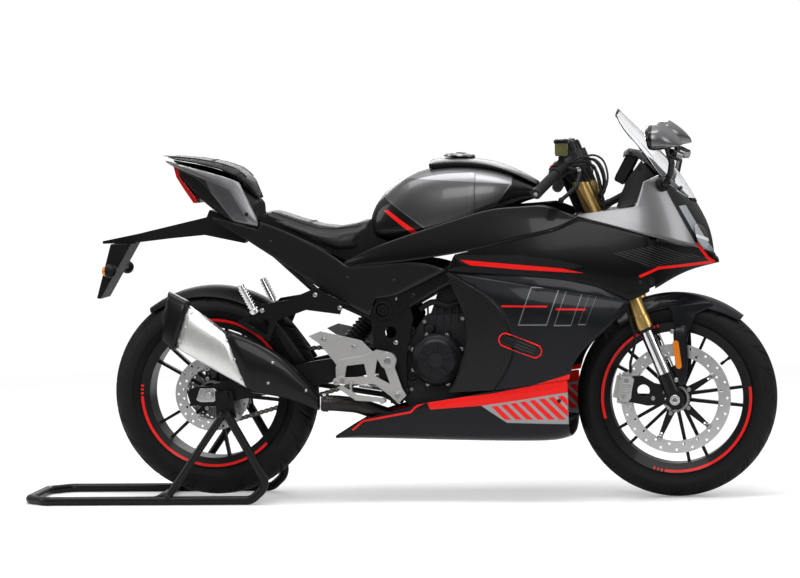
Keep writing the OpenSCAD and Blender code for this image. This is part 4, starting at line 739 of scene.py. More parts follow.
class Fittings:
    """Small pieces of one finish on one body, gathered into one mesh."""

    def __init__(self, name, material, body, slot):
        self.name, self.material, self.body, self.slot = name, material, body, slot
        self.work = bmesh.new()

    def turned(self, profile, centre, axis, segments=20):
        """A turned piece: (radius, height) pairs in millimetres along its axis."""
        axis = Vector(axis).normalized()
        side = axis.orthogonal().normalized()
        third = axis.cross(side)
        rings = []
        for radius, height in profile:
            spot = centre + axis * (height * MM)
            count = segments if radius > 0 else 1
            rings.append([
                self.work.verts.new(
                    spot + (side * cos(tau * i / segments) + third * sin(tau * i / segments)) * (radius * MM)
                )
                for i in range(count)
            ])
        for low, high in zip(rings, rings[1:]):
            for i in range(segments):
                j = (i + 1) % segments
                corners = [low[i % len(low)], low[j % len(low)], high[j % len(high)], high[i % len(high)]]
                corners = list(dict.fromkeys(corners))
                if len(corners) > 2:
                    self.work.faces.new(corners)

    def bolt(self, centre, axis, radius=5.0, height=5.0):
        """A cap screw with a socket."""
        self.turned([
            (radius, -1.0), (radius, height - 0.7), (radius - 0.7, height), (radius * 0.6, height),
            (radius * 0.55, height * 0.4), (0.0, height * 0.4),
        ], centre, axis, 14)

    def nut(self, centre, axis, radius, height):
        """A hexagon nut with the end of its bolt."""
        self.turned([(radius, -1.0), (radius, height), (radius * 0.62, height + 0.3)], centre, axis, 6)
        self.turned([(radius * 0.6, height - 1), (radius * 0.6, height + 2.4), (radius * 0.5, height + 3),
                     (0.0, height + 3)], centre, axis, 14)

    def dome(self, centre, axis, radius=6.0, height=2.4):
        """A low round-headed screw with a socket."""
        self.turned([
            (radius, -1.0), (radius, 0.3), (radius * 0.8, height * 0.75), (radius * 0.45, height),
            (radius * 0.4, height * 0.3), (0.0, height * 0.3),
        ], centre, axis, 14)

    def swept(self, route, radius, segments=8, closed=False):
        """A round section carried along a route, or round a closed one."""
        before = first = None
        ahead = (route[1] - route[0]).normalized()
        side = ahead.orthogonal().normalized()
        for k, spot in enumerate(route):
            last = len(route) - 1
            after = (k + 1) % len(route) if closed else min(k + 1, last)
            ahead = (route[after] - route[k - 1 if closed else max(k - 1, 0)]).normalized()
            side = (side - ahead * side.dot(ahead)).normalized()
            third = ahead.cross(side)
            ring = [
                self.work.verts.new(
                    spot + (side * cos(tau * i / segments) + third * sin(tau * i / segments)) * (radius * MM)
                )
                for i in range(segments)
            ]
            if before:
                self.joined(before, ring)
            first = first or ring
            before = ring
        if closed:
            self.joined(before, first)
        else:
            self.work.faces.new(list(reversed(first)))
            self.work.faces.new(before)

    def joined(self, low, high):
        """Four-sided faces between two rings."""
        for i in range(len(low)):
            j = (i + 1) % len(low)
            self.work.faces.new([low[i], low[j], high[j], high[i]])

    def sheet(self, grid, depth):
        """A curved sheet over rows of points, given thickness."""
        rims = []
        for shift in (Vector(), depth):
            rows = [[self.work.verts.new(spot + shift) for spot in row] for row in grid]
            for a, b in zip(rows, rows[1:]):
                for i in range(len(a) - 1):
                    self.work.faces.new([a[i], a[i + 1], b[i + 1], b[i]])
            rims.append(
                rows[0] + [row[-1] for row in rows[1:]] + rows[-1][-2::-1] + [row[0] for row in rows[-2:0:-1]]
            )
        self.joined(*rims)

    def plate(self, outline, depth):
        """A flat outline given thickness."""
        low = [self.work.verts.new(spot) for spot in outline]
        high = [self.work.verts.new(spot + depth) for spot in outline]
        self.work.faces.new(list(reversed(low)))
        self.work.faces.new(high)
        self.joined(low, high)

    def block(self, centre, along, across, up):
        """A block from its middle and three half edges."""
        corners = [centre + along * a + across * b - up for a, b in ((1, 1), (-1, 1), (-1, -1), (1, -1))]
        self.plate(corners, up * 2)

    def done(self, edge=0.0, *replaced):
        bmesh.ops.recalc_face_normals(self.work, faces=self.work.faces)
        piece = as_piece(self.name, self.work, self.material)
        if edge:
            broken_edges(piece, edge)
        else:
            piece.data.set_sharp_from_angle(angle=radians(38))
        return settle(piece, self.body, self.slot, *replaced)


# Finishes
FRAME_BLACK = plain("frame_black", SATIN_BLACK, 0.36, coat=0.15, grain=0.03, specular=0.15)
CAST_DARK = plain("cast_dark", (0.020, 0.020, 0.022), 0.5, 0.5, grain=0.12, grain_scale=600.0, specular=0.2)
CAST_COVER = plain("cast_cover", (0.014, 0.014, 0.016), 0.4, 0.5, grain=0.08, grain_scale=600.0, specular=0.2)
CAST_GREY = plain("cast_grey", (0.42, 0.415, 0.41), 0.38, 0.75, grain=0.06, grain_scale=800.0, spread=0.06)
POLISHED = plain("polished_alloy", (0.70, 0.70, 0.71), 0.2, 1.0, spread=0.05)
CHROME = plain("hard_chrome", (0.74, 0.74, 0.76), 0.08, 1.0, spread=0.03)
BOLT_STEEL = plain("bolt_steel", (0.34, 0.34, 0.35), 0.32, 1.0)
DARK_BOLT = plain("dark_bolt", (0.02, 0.02, 0.022), 0.4, 0.6, specular=0.2)
GOLD = lacquer("gold_anodised", (0.46, 0.31, 0.11), tube_paint, 1.0, 0.3, 0.0)
CAN_STEEL = brushed("brushed_can", (0.74, 0.74, 0.73), 0.34, (1400.0, 40.0, 60.0), 0.06)
PIPE_STEEL = brushed("pipe_steel", (0.035, 0.033, 0.032), 0.4, (300.0, 300.0, 300.0))
FRONT_DISC = ground_disc("front_disc_steel", (0.60, 0.60, 0.61), FRONT_AXLE)
REAR_DISC = ground_disc("rear_disc_steel", (0.58, 0.58, 0.59), REAR_AXLE)
CHAIN_STEEL = plain("oiled_chain", (0.16, 0.15, 0.14), 0.38, 0.9, grain=0.05)
PIN_STEEL = plain("pin_steel", (0.5, 0.48, 0.44), 0.3, 1.0)
SPRING_DARK = plain("spring_dark", (0.012, 0.012, 0.014), 0.34, coat=0.25, specular=0.2)
MOULDED_BLACK = plain("moulded_black", SATIN_BLACK, 0.5, grain=0.06, grain_scale=1100.0, specular=0.15)
GRIP_RUBBER = plain("grip_rubber", (0.008, 0.008, 0.008), 0.7, grain=0.2, grain_scale=420.0, specular=0.2)
LEATHER = plain("seat_leather", (0.009, 0.009, 0.010), 0.5, grain=0.15, grain_scale=520.0, spread=0.15,
                specular=0.25)
THREAD = plain("seat_thread", (0.03, 0.03, 0.032), 0.6, grain=0.1, grain_scale=1500.0, specular=0.2)
TYRE_RUBBER = plain("tyre_rubber", (0.0055, 0.0055, 0.006), 0.62, grain=0.08, grain_scale=700.0, spread=0.2,
                    specular=0.15)
LAMP_CLEAR = plain("lamp_clear", (0.30, 0.31, 0.32), 0.1, 0.3, coat=0.8)
LAMP_AMBER = plain("lamp_amber", (0.72, 0.20, 0.01), 0.14, coat=0.5)
BUTTON_RED = plain("button_red", (0.5, 0.012, 0.01), 0.4)
BUTTON_GREY = plain("button_grey", (0.2, 0.2, 0.2), 0.45)
MIRROR = plain("mirror_silver", (0.80, 0.81, 0.82), 0.02, 1.0, spread=0.02)
POT = lacquer("fluid_pot", (0.10, 0.095, 0.035), pot_paint, rough=0.25, coat=0.4)
MIRROR_SHELL = lacquer("mirror_shell", BLACK, mirror_paint, 0.0, 0.3, 0.3)
RED_TRIM = lacquer("red_trim", RED, bare, 0.0, 0.3, 0.3)
SILVER_NOSE = lacquer("nose_lacquer", SILVER, nose_paint, 0.85, 0.36, 0.3)
SILVER_TAIL = lacquer("tail_lacquer", SILVER, tail_painted_shade, 0.85, 0.36, 0.3)
TANK_LACQUER = lacquer("tank_lacquer", BLACK, tank_paint, 0.0, 0.36, 0.3)
FAIRING_LACQUER = lacquer("fairing_lacquer", CHARCOAL, fairing_paint, 0.3, 0.36, 0.16)
BELLY_LACQUER = lacquer("belly_lacquer", CHARCOAL, belly_paint, 0.3, 0.36, 0.16)
CHARCOAL_LACQUER = lacquer("charcoal_lacquer", CHARCOAL, bare, 0.3, 0.36, 0.16)
COVER_LACQUER = lacquer("cover_lacquer", (0.012, 0.012, 0.013), bare, 0.3, 0.36, 0.2)
GLOSS_BLACK = lacquer("gloss_black", BLACK, trim_paint, 0.0, 0.26, 0.18)
UPPER_WEAVE = woven("upper_weave", 2, upper_paint, WEAVE_AREAS)
SIDE_WEAVE = woven("side_weave", 2)
TOP_WEAVE = woven("top_weave", 1)
FRONT_WHEEL = lacquer("front_wheel_black", BLACK, rim_paint(FRONT_AXLE, [(-100.0, 108.0), (112.0, 84.0)]),
                      rough=0.4, coat=0.1, specular=0.15)
REAR_WHEEL = lacquer("rear_wheel_black", BLACK, rim_paint(REAR_AXLE, [(-178.0, 134.0), (20.0, 80.0)]),
                     rough=0.4, coat=0.1, specular=0.15)


def screen_glass():
    material, t, sockets = finish("screen_glass", 0.012, specular=0.4)
    toned, varied = soiled(t, t.place(), (0.95, 0.96, 0.97), 0.012, 0.02)
    t.feed(sockets["Base Color"], toned)
    t.feed(sockets["Roughness"], varied)
    sockets["Transmission Weight"].default_value = 1.0
    sockets["IOR"].default_value = 1.2
    return material


def lamp_front():
    """Dark lens with a light strip that rises outward and a pale painted reflection along its outer edge."""
    material, t, sockets = finish("lamp_front", 0.08, coat=0.9)
    place = t.place()
    _, y, z = t.axes(place)
    line = t.math("SUBTRACT", z, t.math("ADD", 0.738, t.math("MULTIPLY", t.math("ABSOLUTE", y), 0.28)))
    strip = within(t, t.math("ABSOLUTE", line), 5.0)
    reflector = within(t, t.math("ABSOLUTE", t.math("ADD", line, 0.024)), 13.0)
    ground = t.mix(reflector, BLACK, (0.10, 0.105, 0.11))
    # painted reflection: pale strip along the lens's outer edge
    ground = t.mix(inside(t, place, LENS_REFLECTION_STRIP), ground, LENS_REFLECTION_PALE)
    ground = t.mix(strip, ground, (0.72, 0.74, 0.76))
    toned, varied = soiled(t, place, ground, 0.08, 0.06, 30.0)
    t.feed(sockets["Base Color"], toned)
    t.feed(sockets["Roughness"], varied)
    return material


def lamp_tail():
    """Red lens over rows of small reflectors."""
    material, t, sockets = finish("lamp_tail", 0.1, coat=0.9)
    place = t.place()
    _, y, z = t.axes(place)
    rows = [t.math("ABSOLUTE", t.math("SINE", t.math("MULTIPLY", axis, pi / (size * MM))))
            for axis, size in ((y, 9.0), (z, 7.0))]
    cells = t.math("MULTIPLY", rows[0], rows[1])
    low, high = (Vector(corner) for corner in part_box("tail_lamp"))
    shares = [
        t.math("ABSOLUTE", t.math("DIVIDE", t.math("SUBTRACT", axis, (low[k] + high[k]) / 2),
                                  (high[k] - low[k]) / 2))
        for axis, k in ((y, 1), (z, 2))
    ]
    ring = t.ramp(t.math("MAXIMUM", shares[0], shares[1]), 0.50, 0.54)
    lit = t.mix(cells, (0.30, 0.003, 0.002), (0.72, 0.014, 0.010))
    t.feed(sockets["Base Color"], t.mix(ring, (0.035, 0.001, 0.001), lit))
    t.feed(sockets["Roughness"], t.ramp(cells, 0.0, 1.0, 0.16, 0.06))
    t.feed(sockets["Normal"], t.bump(cells, 0.5 * MM, 0.3))
    return material


def dash_glass():
    """Dark display with a faint bar scale and no figures."""
    material, t, sockets = finish("dash_glass", 0.06, coat=0.6)
    place = t.place()
    _, y, z = t.axes(place)
    bars = t.math("LESS_THAN", t.math("FRACT", t.math("DIVIDE", t.math("ADD", y, 1.0), 0.007)), 0.55)
    scale = t.math("MULTIPLY", bars, within(t, t.math("ABSOLUTE", t.math("SUBTRACT", z, 0.990)), 7.0))
    toned, varied = soiled(t, place, t.mix(scale, (0.008, 0.010, 0.012), (0.11, 0.13, 0.13)), 0.06, 0.08)
    t.feed(sockets["Base Color"], toned)
    t.feed(sockets["Roughness"], varied)
    return material


def radiator_core():
    """Fine upright fins in the core with painted shade in the gaps between them, plain tanks at its sides."""
    material, t, sockets = finish("radiator_black", 0.45, 0.3)
    place = t.place()
    _, y, _ = t.axes(place)
    fins = t.math("ABSOLUTE", t.math("SINE", t.math("MULTIPLY", y, pi / 0.0032)))
    core = t.ramp(t.math("ABSOLUTE", y), 0.1355, 0.1345)
    depth = t.math("MULTIPLY", fins, core)
    # painted shade: satin black in the gaps between fins, lighter grey on their crests
    toned, varied = soiled(t, place, t.mix(depth, SATIN_BLACK, (0.06, 0.06, 0.063)), 0.45)
    t.feed(sockets["Base Color"], toned)
    t.feed(sockets["Roughness"], varied)
    t.feed(sockets["Normal"], t.bump(depth, 0.8 * MM, 0.6))
    return material


SCREEN_GLASS = screen_glass()
LAMP_FRONT = lamp_front()
LAMP_TAIL = lamp_tail()
DASH_GLASS = dash_glass()
RADIATOR_BLACK = radiator_core()

MOULDINGS = {
    "muffler": CAN_STEEL, "muffler_shield": FRAME_BLACK, "rear_hugger": MOULDED_BLACK,
    "fuel_tank": TANK_LACQUER, "tank_panels": TANK_LACQUER, "tank_cover": TOP_WEAVE,
    "tank_surround": GLOSS_BLACK, "tail_unit": MOULDED_BLACK, "tail_cowl": SILVER_TAIL,
    "side_covers": COVER_LACQUER, "side_fairings": FAIRING_LACQUER, "duct_panels": SIDE_WEAVE,
    "upper_fairing": UPPER_WEAVE, "belly_pan": BELLY_LACQUER, "nose_cowl": SILVER_NOSE,
    "nose_lower": GLOSS_BLACK, "headlamps": LAMP_FRONT, "windscreen": SCREEN_GLASS,
    "mirrors": MIRROR_SHELL, "front_fender": CHARCOAL_LACQUER,
}
MACHINED = {
    "main_frame": FRAME_BLACK, "rear_subframe": FRAME_BLACK, "engine": CAST_DARK, "engine_covers": CAST_COVER,
    "radiator": RADIATOR_BLACK, "exhaust_pipe": PIPE_STEEL, "swingarm": FRAME_BLACK,
    "rear_shock": SPRING_DARK,
    "rear_caliper": CAST_DARK, "rear_axle": POLISHED, "rearset_plates": CAST_GREY, "foot_controls": CAST_GREY,
    "pillion_hangers": FRAME_BLACK, "pillion_pegs": POLISHED, "tail_lamp": LAMP_TAIL,
    "plate_hanger": MOULDED_BLACK, "cockpit": MOULDED_BLACK, "paddock_stand": FRAME_BLACK,
    "side_stand": FRAME_BLACK, "fork_tubes": GOLD, "fork_stanchions": CHROME, "fork_lugs": FRAME_BLACK,
    "yokes": CAST_DARK, "clip_ons": CAST_DARK, "hand_controls": MOULDED_BLACK, "brake_reservoir": POT,
    "brake_hose": GRIP_RUBBER, "front_caliper": CAST_GREY, "front_axle": POLISHED,
    "front_rim": FRONT_WHEEL, "rear_rim": REAR_WHEEL, "front_disc": FRONT_DISC, "rear_disc": REAR_DISC,
    "rear_sprocket": CHAIN_STEEL, "chain": CHAIN_STEEL,
}


# Tyres
TREAD_PITCHES = 24
TREAD_STEPS = 24
TREAD_DEPTH = 4.5
# Slanted grooves: share of the half width where each starts and ends, its first place and its two slopes
GROOVES = [(0.07, 0.60, 0.0, 52.0, 40.0), (0.32, 0.84, 38.0, 30.0, 34.0)]


def eased(value):
    value = min(1.0, max(0.0, value))
    return value * value * (3 - 2 * value)


def tread_depth(round_mm, share, pitch):
    """Depth of the grooves by distance round the tyre and signed share of its half width."""
    side = abs(share)
    round_mm += pitch / 2 if share < 0 else 0.0
    deepest = 0.0
    for start, end, first, slope, bend in GROOVES:
        if start < side < end:
            line = first + slope * (side - start) + bend * (side - start) ** 2
            away = abs((round_mm - line + pitch / 2) % pitch - pitch / 2)
            wide = 4.2 - 1.6 * (side - start) / (end - start)
            ends = eased(min(side - start, end - side) / 0.05)
            deepest = max(deepest, ends * eased((wide - away) / 1.6 + 0.5))
    return TREAD_DEPTH * deepest


def tyre(node, axle, radius, width, rim_half):
    """Tyre with its tread cut in and rings moulded on its sides."""
    crown = 0.40 * width
    middle = radius - crown
    bead = rim_half - 0.3
    rows = [(216.3, -bead, None), (224.0, -bead, None), (228.0, -rim_half - 2, None)]
    for k in range(49):
        a = 180.0 * k / 48
        lift = sum(0.9 * max(0.0, 1 - abs(abs(a - 90) - ring) / 2.6) for ring in (66.0, 79.0))
        rows.append((middle + (crown + lift) * sin(radians(a)), -(width / 2 + lift) * cos(radians(a)),
                     (a - 90) / 90))
    rows += [(228.0, rim_half + 2, None), (224.0, bead, None), (216.3, bead, None)]
    count = TREAD_PITCHES * TREAD_STEPS
    pitch = tau * radius / TREAD_PITCHES
    places, faces = [], []
    for r, y, share in rows:
        for j in range(count):
            turn = tau * j / count
            deep = 0.0 if share is None else tread_depth(radius * turn, share, pitch)
            reach = (r - deep) * MM
            places.append((axle.x + reach * cos(turn), y * MM, axle.z + reach * sin(turn)))
    for i in range(len(rows) - 1):
        for j in range(count):
            k = (j + 1) % count
            faces.append((i * count + j, i * count + k, (i + 1) * count + k, (i + 1) * count + j))
    mesh = bpy.data.meshes.new(node + "_cover")
    mesh.from_pydata(places, [], faces)
    mesh.materials.append(TYRE_RUBBER)
    for face in mesh.polygons:
        face.use_smooth = True
    mesh.set_sharp_from_angle(angle=radians(40))
    piece = bpy.data.objects.new(node + "_cover", mesh)
    bpy.context.collection.objects.link(piece)
    settle(piece, BODY_OF[node], SLOT_OF[node], node)


# Seats: half widths by distance ahead of the rear axle
RIDER_WIDTHS = [(144, 60), (180, 96), (258, 110), (328, 120), (382, 122), (436, 110), (476, 76)]
PILLION_WIDTHS = [(-152, 36), (-100, 86), (-40, 106), (36, 112), (90, 104), (124, 84), (150, 50)]


def cushion(node, shrink, cap):
    """A padded seat: the solid drawn in a little, then blown up like a stuffed cover and held by its base."""
    work = from_node(node)
    bmesh.ops.subdivide_edges(work, edges=work.edges, cuts=1, use_grid_fill=True)
    work.normal_update()
    for vertex in work.verts:
        vertex.co -= vertex.normal * (shrink * MM)
    piece = as_piece(node + "_cushion", work, LEATHER)
    bpy.context.view_layer.objects.active = piece
    remesh = piece.modifiers.new("remesh", "REMESH")
    remesh.mode = "VOXEL"
    remesh.voxel_size = 5.0 * MM
    smooth = piece.modifiers.new("smooth", "SMOOTH")
    smooth.iterations = 6
    ready = bpy.data.meshes.new_from_object(piece.evaluated_get(bpy.context.evaluated_depsgraph_get()))
    piece.modifiers.clear()
    piece.data = ready
    rest = [vertex.co.copy() for vertex in ready.vertices]
    held = piece.vertex_groups.new(name="base")
    held.add([v.index for v in ready.vertices if v.normal.z < -0.2], 1.0, "REPLACE")
    cloth = piece.modifiers.new("cover", "CLOTH")
    cloth.settings.quality = 5
    cloth.settings.mass = 0.4
    cloth.settings.tension_stiffness = 18.0
    cloth.settings.compression_stiffness = 18.0
    cloth.settings.bending_stiffness = 1.0
    cloth.settings.vertex_group_mass = "base"
    cloth.settings.use_pressure = True
    cloth.settings.uniform_pressure_force = 4.0
    cloth.settings.effector_weights.gravity = 0.0
    cloth.point_cache.frame_start = 1
    cloth.point_cache.frame_end = 20
    for step in range(1, 21):
        bpy.context.scene.frame_set(step)
    blown = piece.evaluated_get(bpy.context.evaluated_depsgraph_get()).to_mesh()
    moved = [vertex.co.copy() for vertex in blown.vertices]
    piece.modifiers.clear()
    bpy.context.scene.frame_set(1)
    for vertex, start, end in zip(ready.vertices, rest, moved):
        move = end - start
        if move.length > cap * MM:
            move *= cap * MM / move.length
        vertex.co = start + move
    for face in ready.polygons:
        face.use_smooth = True
    ready.materials.clear()
    ready.materials.append(LEATHER)
    ready.update()
    rounded = piece.modifiers.new("rounded", "SUBSURF")
    rounded.levels = rounded.render_levels = 1
    settle(piece, BODY_OF[node], SLOT_OF[node], node)
    return BVHTree.FromPolygons(
        [vertex.co.copy() for vertex in ready.vertices], [tuple(face.vertices) for face in ready.polygons]
    )


def half_width(widths, x):
    for (x0, w0), (x1, w1) in zip(widths, widths[1:]):
        if x <= x1:
            return w0 + (w1 - w0) * max(0.0, (x - x0) / (x1 - x0))
    return widths[-1][1]


def sewn(name, cover, widths, share, start, end, crossings):
    """Piped seams along a seat and across it, with stitches on both sides of each."""
    piping = Fittings(name + "_piping", LEATHER, "chassis", "seat_cover")
    stitches = Fittings(name + "_stitches", THREAD, "chassis", "seat_cover")

    def on_cover(x, y, lift):
        spot, normal, _, _ = cover.ray_cast(at(x, y, 1600.0), Vector((0.0, 0.0, -1.0)))
        return None if spot is None else spot + normal * (lift * MM)

    def seam(line):
        route = [spot for spot in (on_cover(x, y, 0.4) for x, y in line) if spot]
        piping.swept(route, 2.1)
        for (x0, y0), (x1, y1) in list(zip(line, line[1:]))[::2]:
            long = hypot(x1 - x0, y1 - y0)
            aside = ((y1 - y0) / long * 5.0, -(x1 - x0) / long * 5.0)
            for sign in (-1, 1):
                ends = [on_cover(x + sign * aside[0], y + sign * aside[1], 0.25)
                        for x, y in ((x0, y0), (x0 + (x1 - x0) * 0.9, y0 + (y1 - y0) * 0.9))]
                if all(ends):
                    stitches.swept(ends, 0.7, 6)

    steps = int((end - start) / 5.0)
    for side in (RIGHT, LEFT):
        seam([(x, side * share * half_width(widths, x))
              for x in (start + (end - start) * k / steps for k in range(steps + 1))])
    for x in crossings:
        reach = share * half_width(widths, x) - 4.0
        count = int(2 * reach / 5.0)
        seam([(x, -reach + 2 * reach * k / count) for k in range(count + 1)])
    piping.done()
    stitches.done()


AHEAD, UPWARD = Vector((1.0, 0.0, 0.0)), Vector((0.0, 0.0, 1.0))
OUT = {RIGHT: Vector((0.0, -1.0, 0.0)), LEFT: Vector((0.0, 1.0, 0.0))}


def round_axle(axle, radius, angle, y):
    """A place about a wheel's axle."""
    return axle + Vector((radius * cos(radians(angle)), y, radius * sin(radians(angle)))) * MM


def wheel_fittings(axle, body, disc_y, arms_r):
    """Disc bobbins, carrier screws, speed ring and valve."""
    steel = Fittings(body + "_bobbins", BOLT_STEEL, body, "disc_steel")
    for k in range(5):
        angle = 36.0 + 72.0 * k
        seat = round_axle(axle, arms_r, angle, -disc_y) + Vector(
            (10.5 * sin(radians(angle)), 0.0, -10.5 * cos(radians(angle)))) * MM
        steel.turned([(9.0, -3.2), (9.0, 2.2), (7.6, 3.2), (4.4, 3.2), (3.6, 1.0), (0.0, 1.0)],
                     seat, OUT[RIGHT])
        steel.bolt(round_axle(axle, 46.0, angle - 2.0, -disc_y - 2.0), OUT[RIGHT], 6.0, 5.0)
    ring = round_axle(axle, 0.0, 0.0, -disc_y - 2.2)
    steel.turned([(33.0, 0.0), (38.0, 0.0), (38.0, 2.0), (33.0, 2.0), (33.0, 0.0)], ring, OUT[RIGHT], 60)
    for k in range(36):
        angle = 10.0 * k
        steel.block(round_axle(axle, 39.2, angle, -disc_y - 3.2),
                    Vector((cos(radians(angle)), 0.0, sin(radians(angle)))) * (1.6 * MM),
                    Vector((-sin(radians(angle)), 0.0, cos(radians(angle)))) * (1.8 * MM),
                    OUT[RIGHT] * (1.0 * MM))
    steel.done()
    valve = Fittings(body + "_valve", GRIP_RUBBER, body, "grip_rubber")
    out = Vector((cos(radians(36.0)), 0.0, sin(radians(36.0))))
    valve.turned([(5.5, 0.0), (5.0, 8.0), (3.6, 12.0), (3.6, 24.0),
                  (4.6, 25.0), (4.6, 34.0), (3.6, 36.0), (0.0, 36.0)],
                 round_axle(axle, 195.0, 36.0, 0.0), -out, 14)
    valve.done()


def chain_pins():
    """Riveted pin ends on both sides of the chain."""
    pitch, rear, front = 15.875, 15.875 / 2 / sin(pi / 40), 15.875 / 2 / sin(pi / 14)
    far = (602.0, 426.0)
    run = (far[0], far[1] - 320.0)
    span = hypot(*run)
    turn, lap = atan2(run[1], run[0]), asin((rear - front) / hypot(*run))
    top, low = turn + pi / 2 - lap, turn - pi / 2 + lap
    rear_wrap, front_wrap, straight = rear * (pi + 2 * lap), front * (pi - 2 * lap), span * cos(lap)
    whole = rear_wrap + front_wrap + 2 * straight
    links = 2 * round(whole / pitch / 2)

    def about(centre, radius, angle):
        return Vector((centre[0] + radius * cos(angle), 0.0, centre[1] + radius * sin(angle)))

    def along(s):
        hub = (0.0, 320.0)
        if s < rear_wrap:
            return about(hub, rear, top + s / rear)
        s -= rear_wrap
        if s < straight:
            return about(hub, rear, low).lerp(about(far, front, low), s / straight)
        s -= straight
        if s < front_wrap:
            return about(far, front, low + s / front)
        return about(far, front, top).lerp(about(hub, rear, top), (s - front_wrap) / straight)

    pins = Fittings("chain_pins", PIN_STEEL, "chassis", "chain_steel")
    for k in range(links):
        spot = along(k * whole / links)
        for side in (-1, 1):
            pins.turned([(3.0, -0.6), (3.0, 0.9), (2.2, 1.5), (0.0, 1.2)],
                        at(spot.x, 93.0 + side * 7.5, spot.z), (0.0, side, 0.0), 8)
    pins.done()


CALIPER_OUTLINE = [
    (-163, -2), (-166, 16), (-161, 58), (-152, 68), (-128, 70), (-118, 60), (-124, 34), (-128, 4), (-138, -6),
]


def caliper_body():
    """Ribbed outer half of the front caliper, with its hose union and bleed screw."""
    body = Fittings("caliper_body", CAST_GREY, "front_end", SLOT_OF["front_caliper"])
    face = FRONT_AXLE + Vector((0.0, -103.4, 0.0)) * MM
    body.plate([face + Vector((x, 0.0, z)) * MM for x, z in CALIPER_OUTLINE], OUT[RIGHT] * (14.0 * MM))
    lean = Vector((0.12, 0.0, 1.0)).normalized()
    across = Vector((1.0, 0.0, -0.12)).normalized()
    for k in range(5):
        middle = face + Vector((-146.0, -15.6, 19.0)) * MM + lean * (7.4 * k * MM)
        body.block(middle, across * (13.0 * MM), OUT[RIGHT] * (2.4 * MM), lean * (2.2 * MM))
    body.turned([(5.0, -2.0), (5.0, 6.0), (3.0, 7.0), (3.0, 14.0), (0.0, 14.4)],
                face + Vector((-156.0, -8.0, 66.0)) * MM, Vector((-0.3, 0.0, 1.0)), 12)
    body.done(1.0)


def fork_fittings():
    """Caps, wipers, clamp screws, reflectors and caliper screws of the fork."""
    rubber = Fittings("fork_wipers", GRIP_RUBBER, "front_end", "grip_rubber")
    caps = Fittings("fork_caps", DARK_BOLT, "front_end", "cast_grey")
    screws = Fittings("fork_screws", BOLT_STEEL, "front_end", "polished")
    amber = Fittings("fork_reflectors", LAMP_AMBER, "front_end", "lamp_red")
    for side in (RIGHT, LEFT):
        y = side * 102.0
        rubber.turned([(18.8, -8.0), (22.0, -8.0), (25.0, -5.0), (26.6, -3.0), (26.6, 2.0), (18.8, 2.0)],
                      on_fork(0, y, 222.0), FORK_UP, 32)
        caps.turned([(24.5, -1.0), (24.5, 3.0), (22.5, 5.0), (18.0, 5.0)], on_fork(0, y, 807.4), FORK_UP, 32)
        caps.turned([(17.0, 4.0), (17.0, 10.0), (15.5, 11.5), (9.0, 11.5)], on_fork(0, y, 807.4), FORK_UP, 6)
        screws.turned([(8.5, 11.0), (8.5, 16.0), (7.5, 17.0), (4.0, 17.0), (3.6, 13.0), (0.0, 13.0)],
                      on_fork(0, y, 807.4), FORK_UP, 16)
        for up in (511.0, 528.0):
            screws.bolt(on_fork(-27.0, y - side * 26.0, up), -FORK_AHEAD, 5.5, 6.0)
        screws.bolt(on_fork(-27.0, y - side * 26.0, 731.4), -FORK_AHEAD, 5.5, 6.0)
        screws.bolt(on_fork(-28.0, y, 757.0), -FORK_AHEAD, 5.0, 9.0)
        screws.bolt(on_fork(-28.0, y, 773.0), -FORK_AHEAD, 5.0, 9.0)
        for up in (-12.0, 12.0):
            screws.bolt(on_fork(-23.0, y, up), -FORK_AHEAD, 5.0, 5.0)
        screws.dome(at(1374.0, side * 111.0, 350.0), OUT[side], 7.5, 4.0)
        screws.dome(at(1364.0, side * 111.0, 492.0), OUT[side], 7.5, 4.0)
        long, wide = Vector((10.0, 0.0, -80.0)).normalized(), Vector((80.0, 0.0, 10.0)).normalized()
        middle = at(1378.0, side * 111.2, 424.0)
        lens = [middle + (long * (33.0 * a + 9.0 * cos(turn)) + wide * (9.0 * sin(turn))) * MM
                for a, turns in ((1, (-75, -38, 0, 38, 75)), (-1, (105, 142, 180, 218, 255)))
                for turn in map(radians, turns)]
        amber.plate(lens, OUT[side] * (4.0 * MM))
    for x, y, z in (
        (-150.0, -117.3, 10.0), (-140.0, -117.3, 58.0), (-30.0, -103.3, 22.0), (-64.0, -103.3, 4.0)
    ):
        screws.bolt(FRONT_AXLE + Vector((x, y, z)) * MM, OUT[RIGHT], 6.5, 5.0)
    caliper_body()
    caps.turned([(21.0, -1.0), (21.0, 9.0), (19.0, 11.0), (10.0, 11.0), (9.0, 6.0), (0.0, 6.0)],
                on_fork(-30.0, 0.0, 740.4), FORK_UP, 6)
    rubber.done()
    caps.done(0.5)
    screws.done()
    amber.done(0.8)


BAR_ROOT = Vector((1085.0, -138.0, 1003.2))
BAR_ALONG = Vector((-0.354, -0.845, -0.40)).normalized()
GRIP_FROM, GRIP_LONG, BAR_LONG = 115.0, 122.0, 251.0


def on_bar(s, side):
    """A place along the right or the left handlebar."""
    spot = BAR_ROOT + BAR_ALONG * s
    return at(spot.x, -side * spot.y, spot.z)


def bar_way(side):
    return Vector((BAR_ALONG.x, -side * BAR_ALONG.y, BAR_ALONG.z))


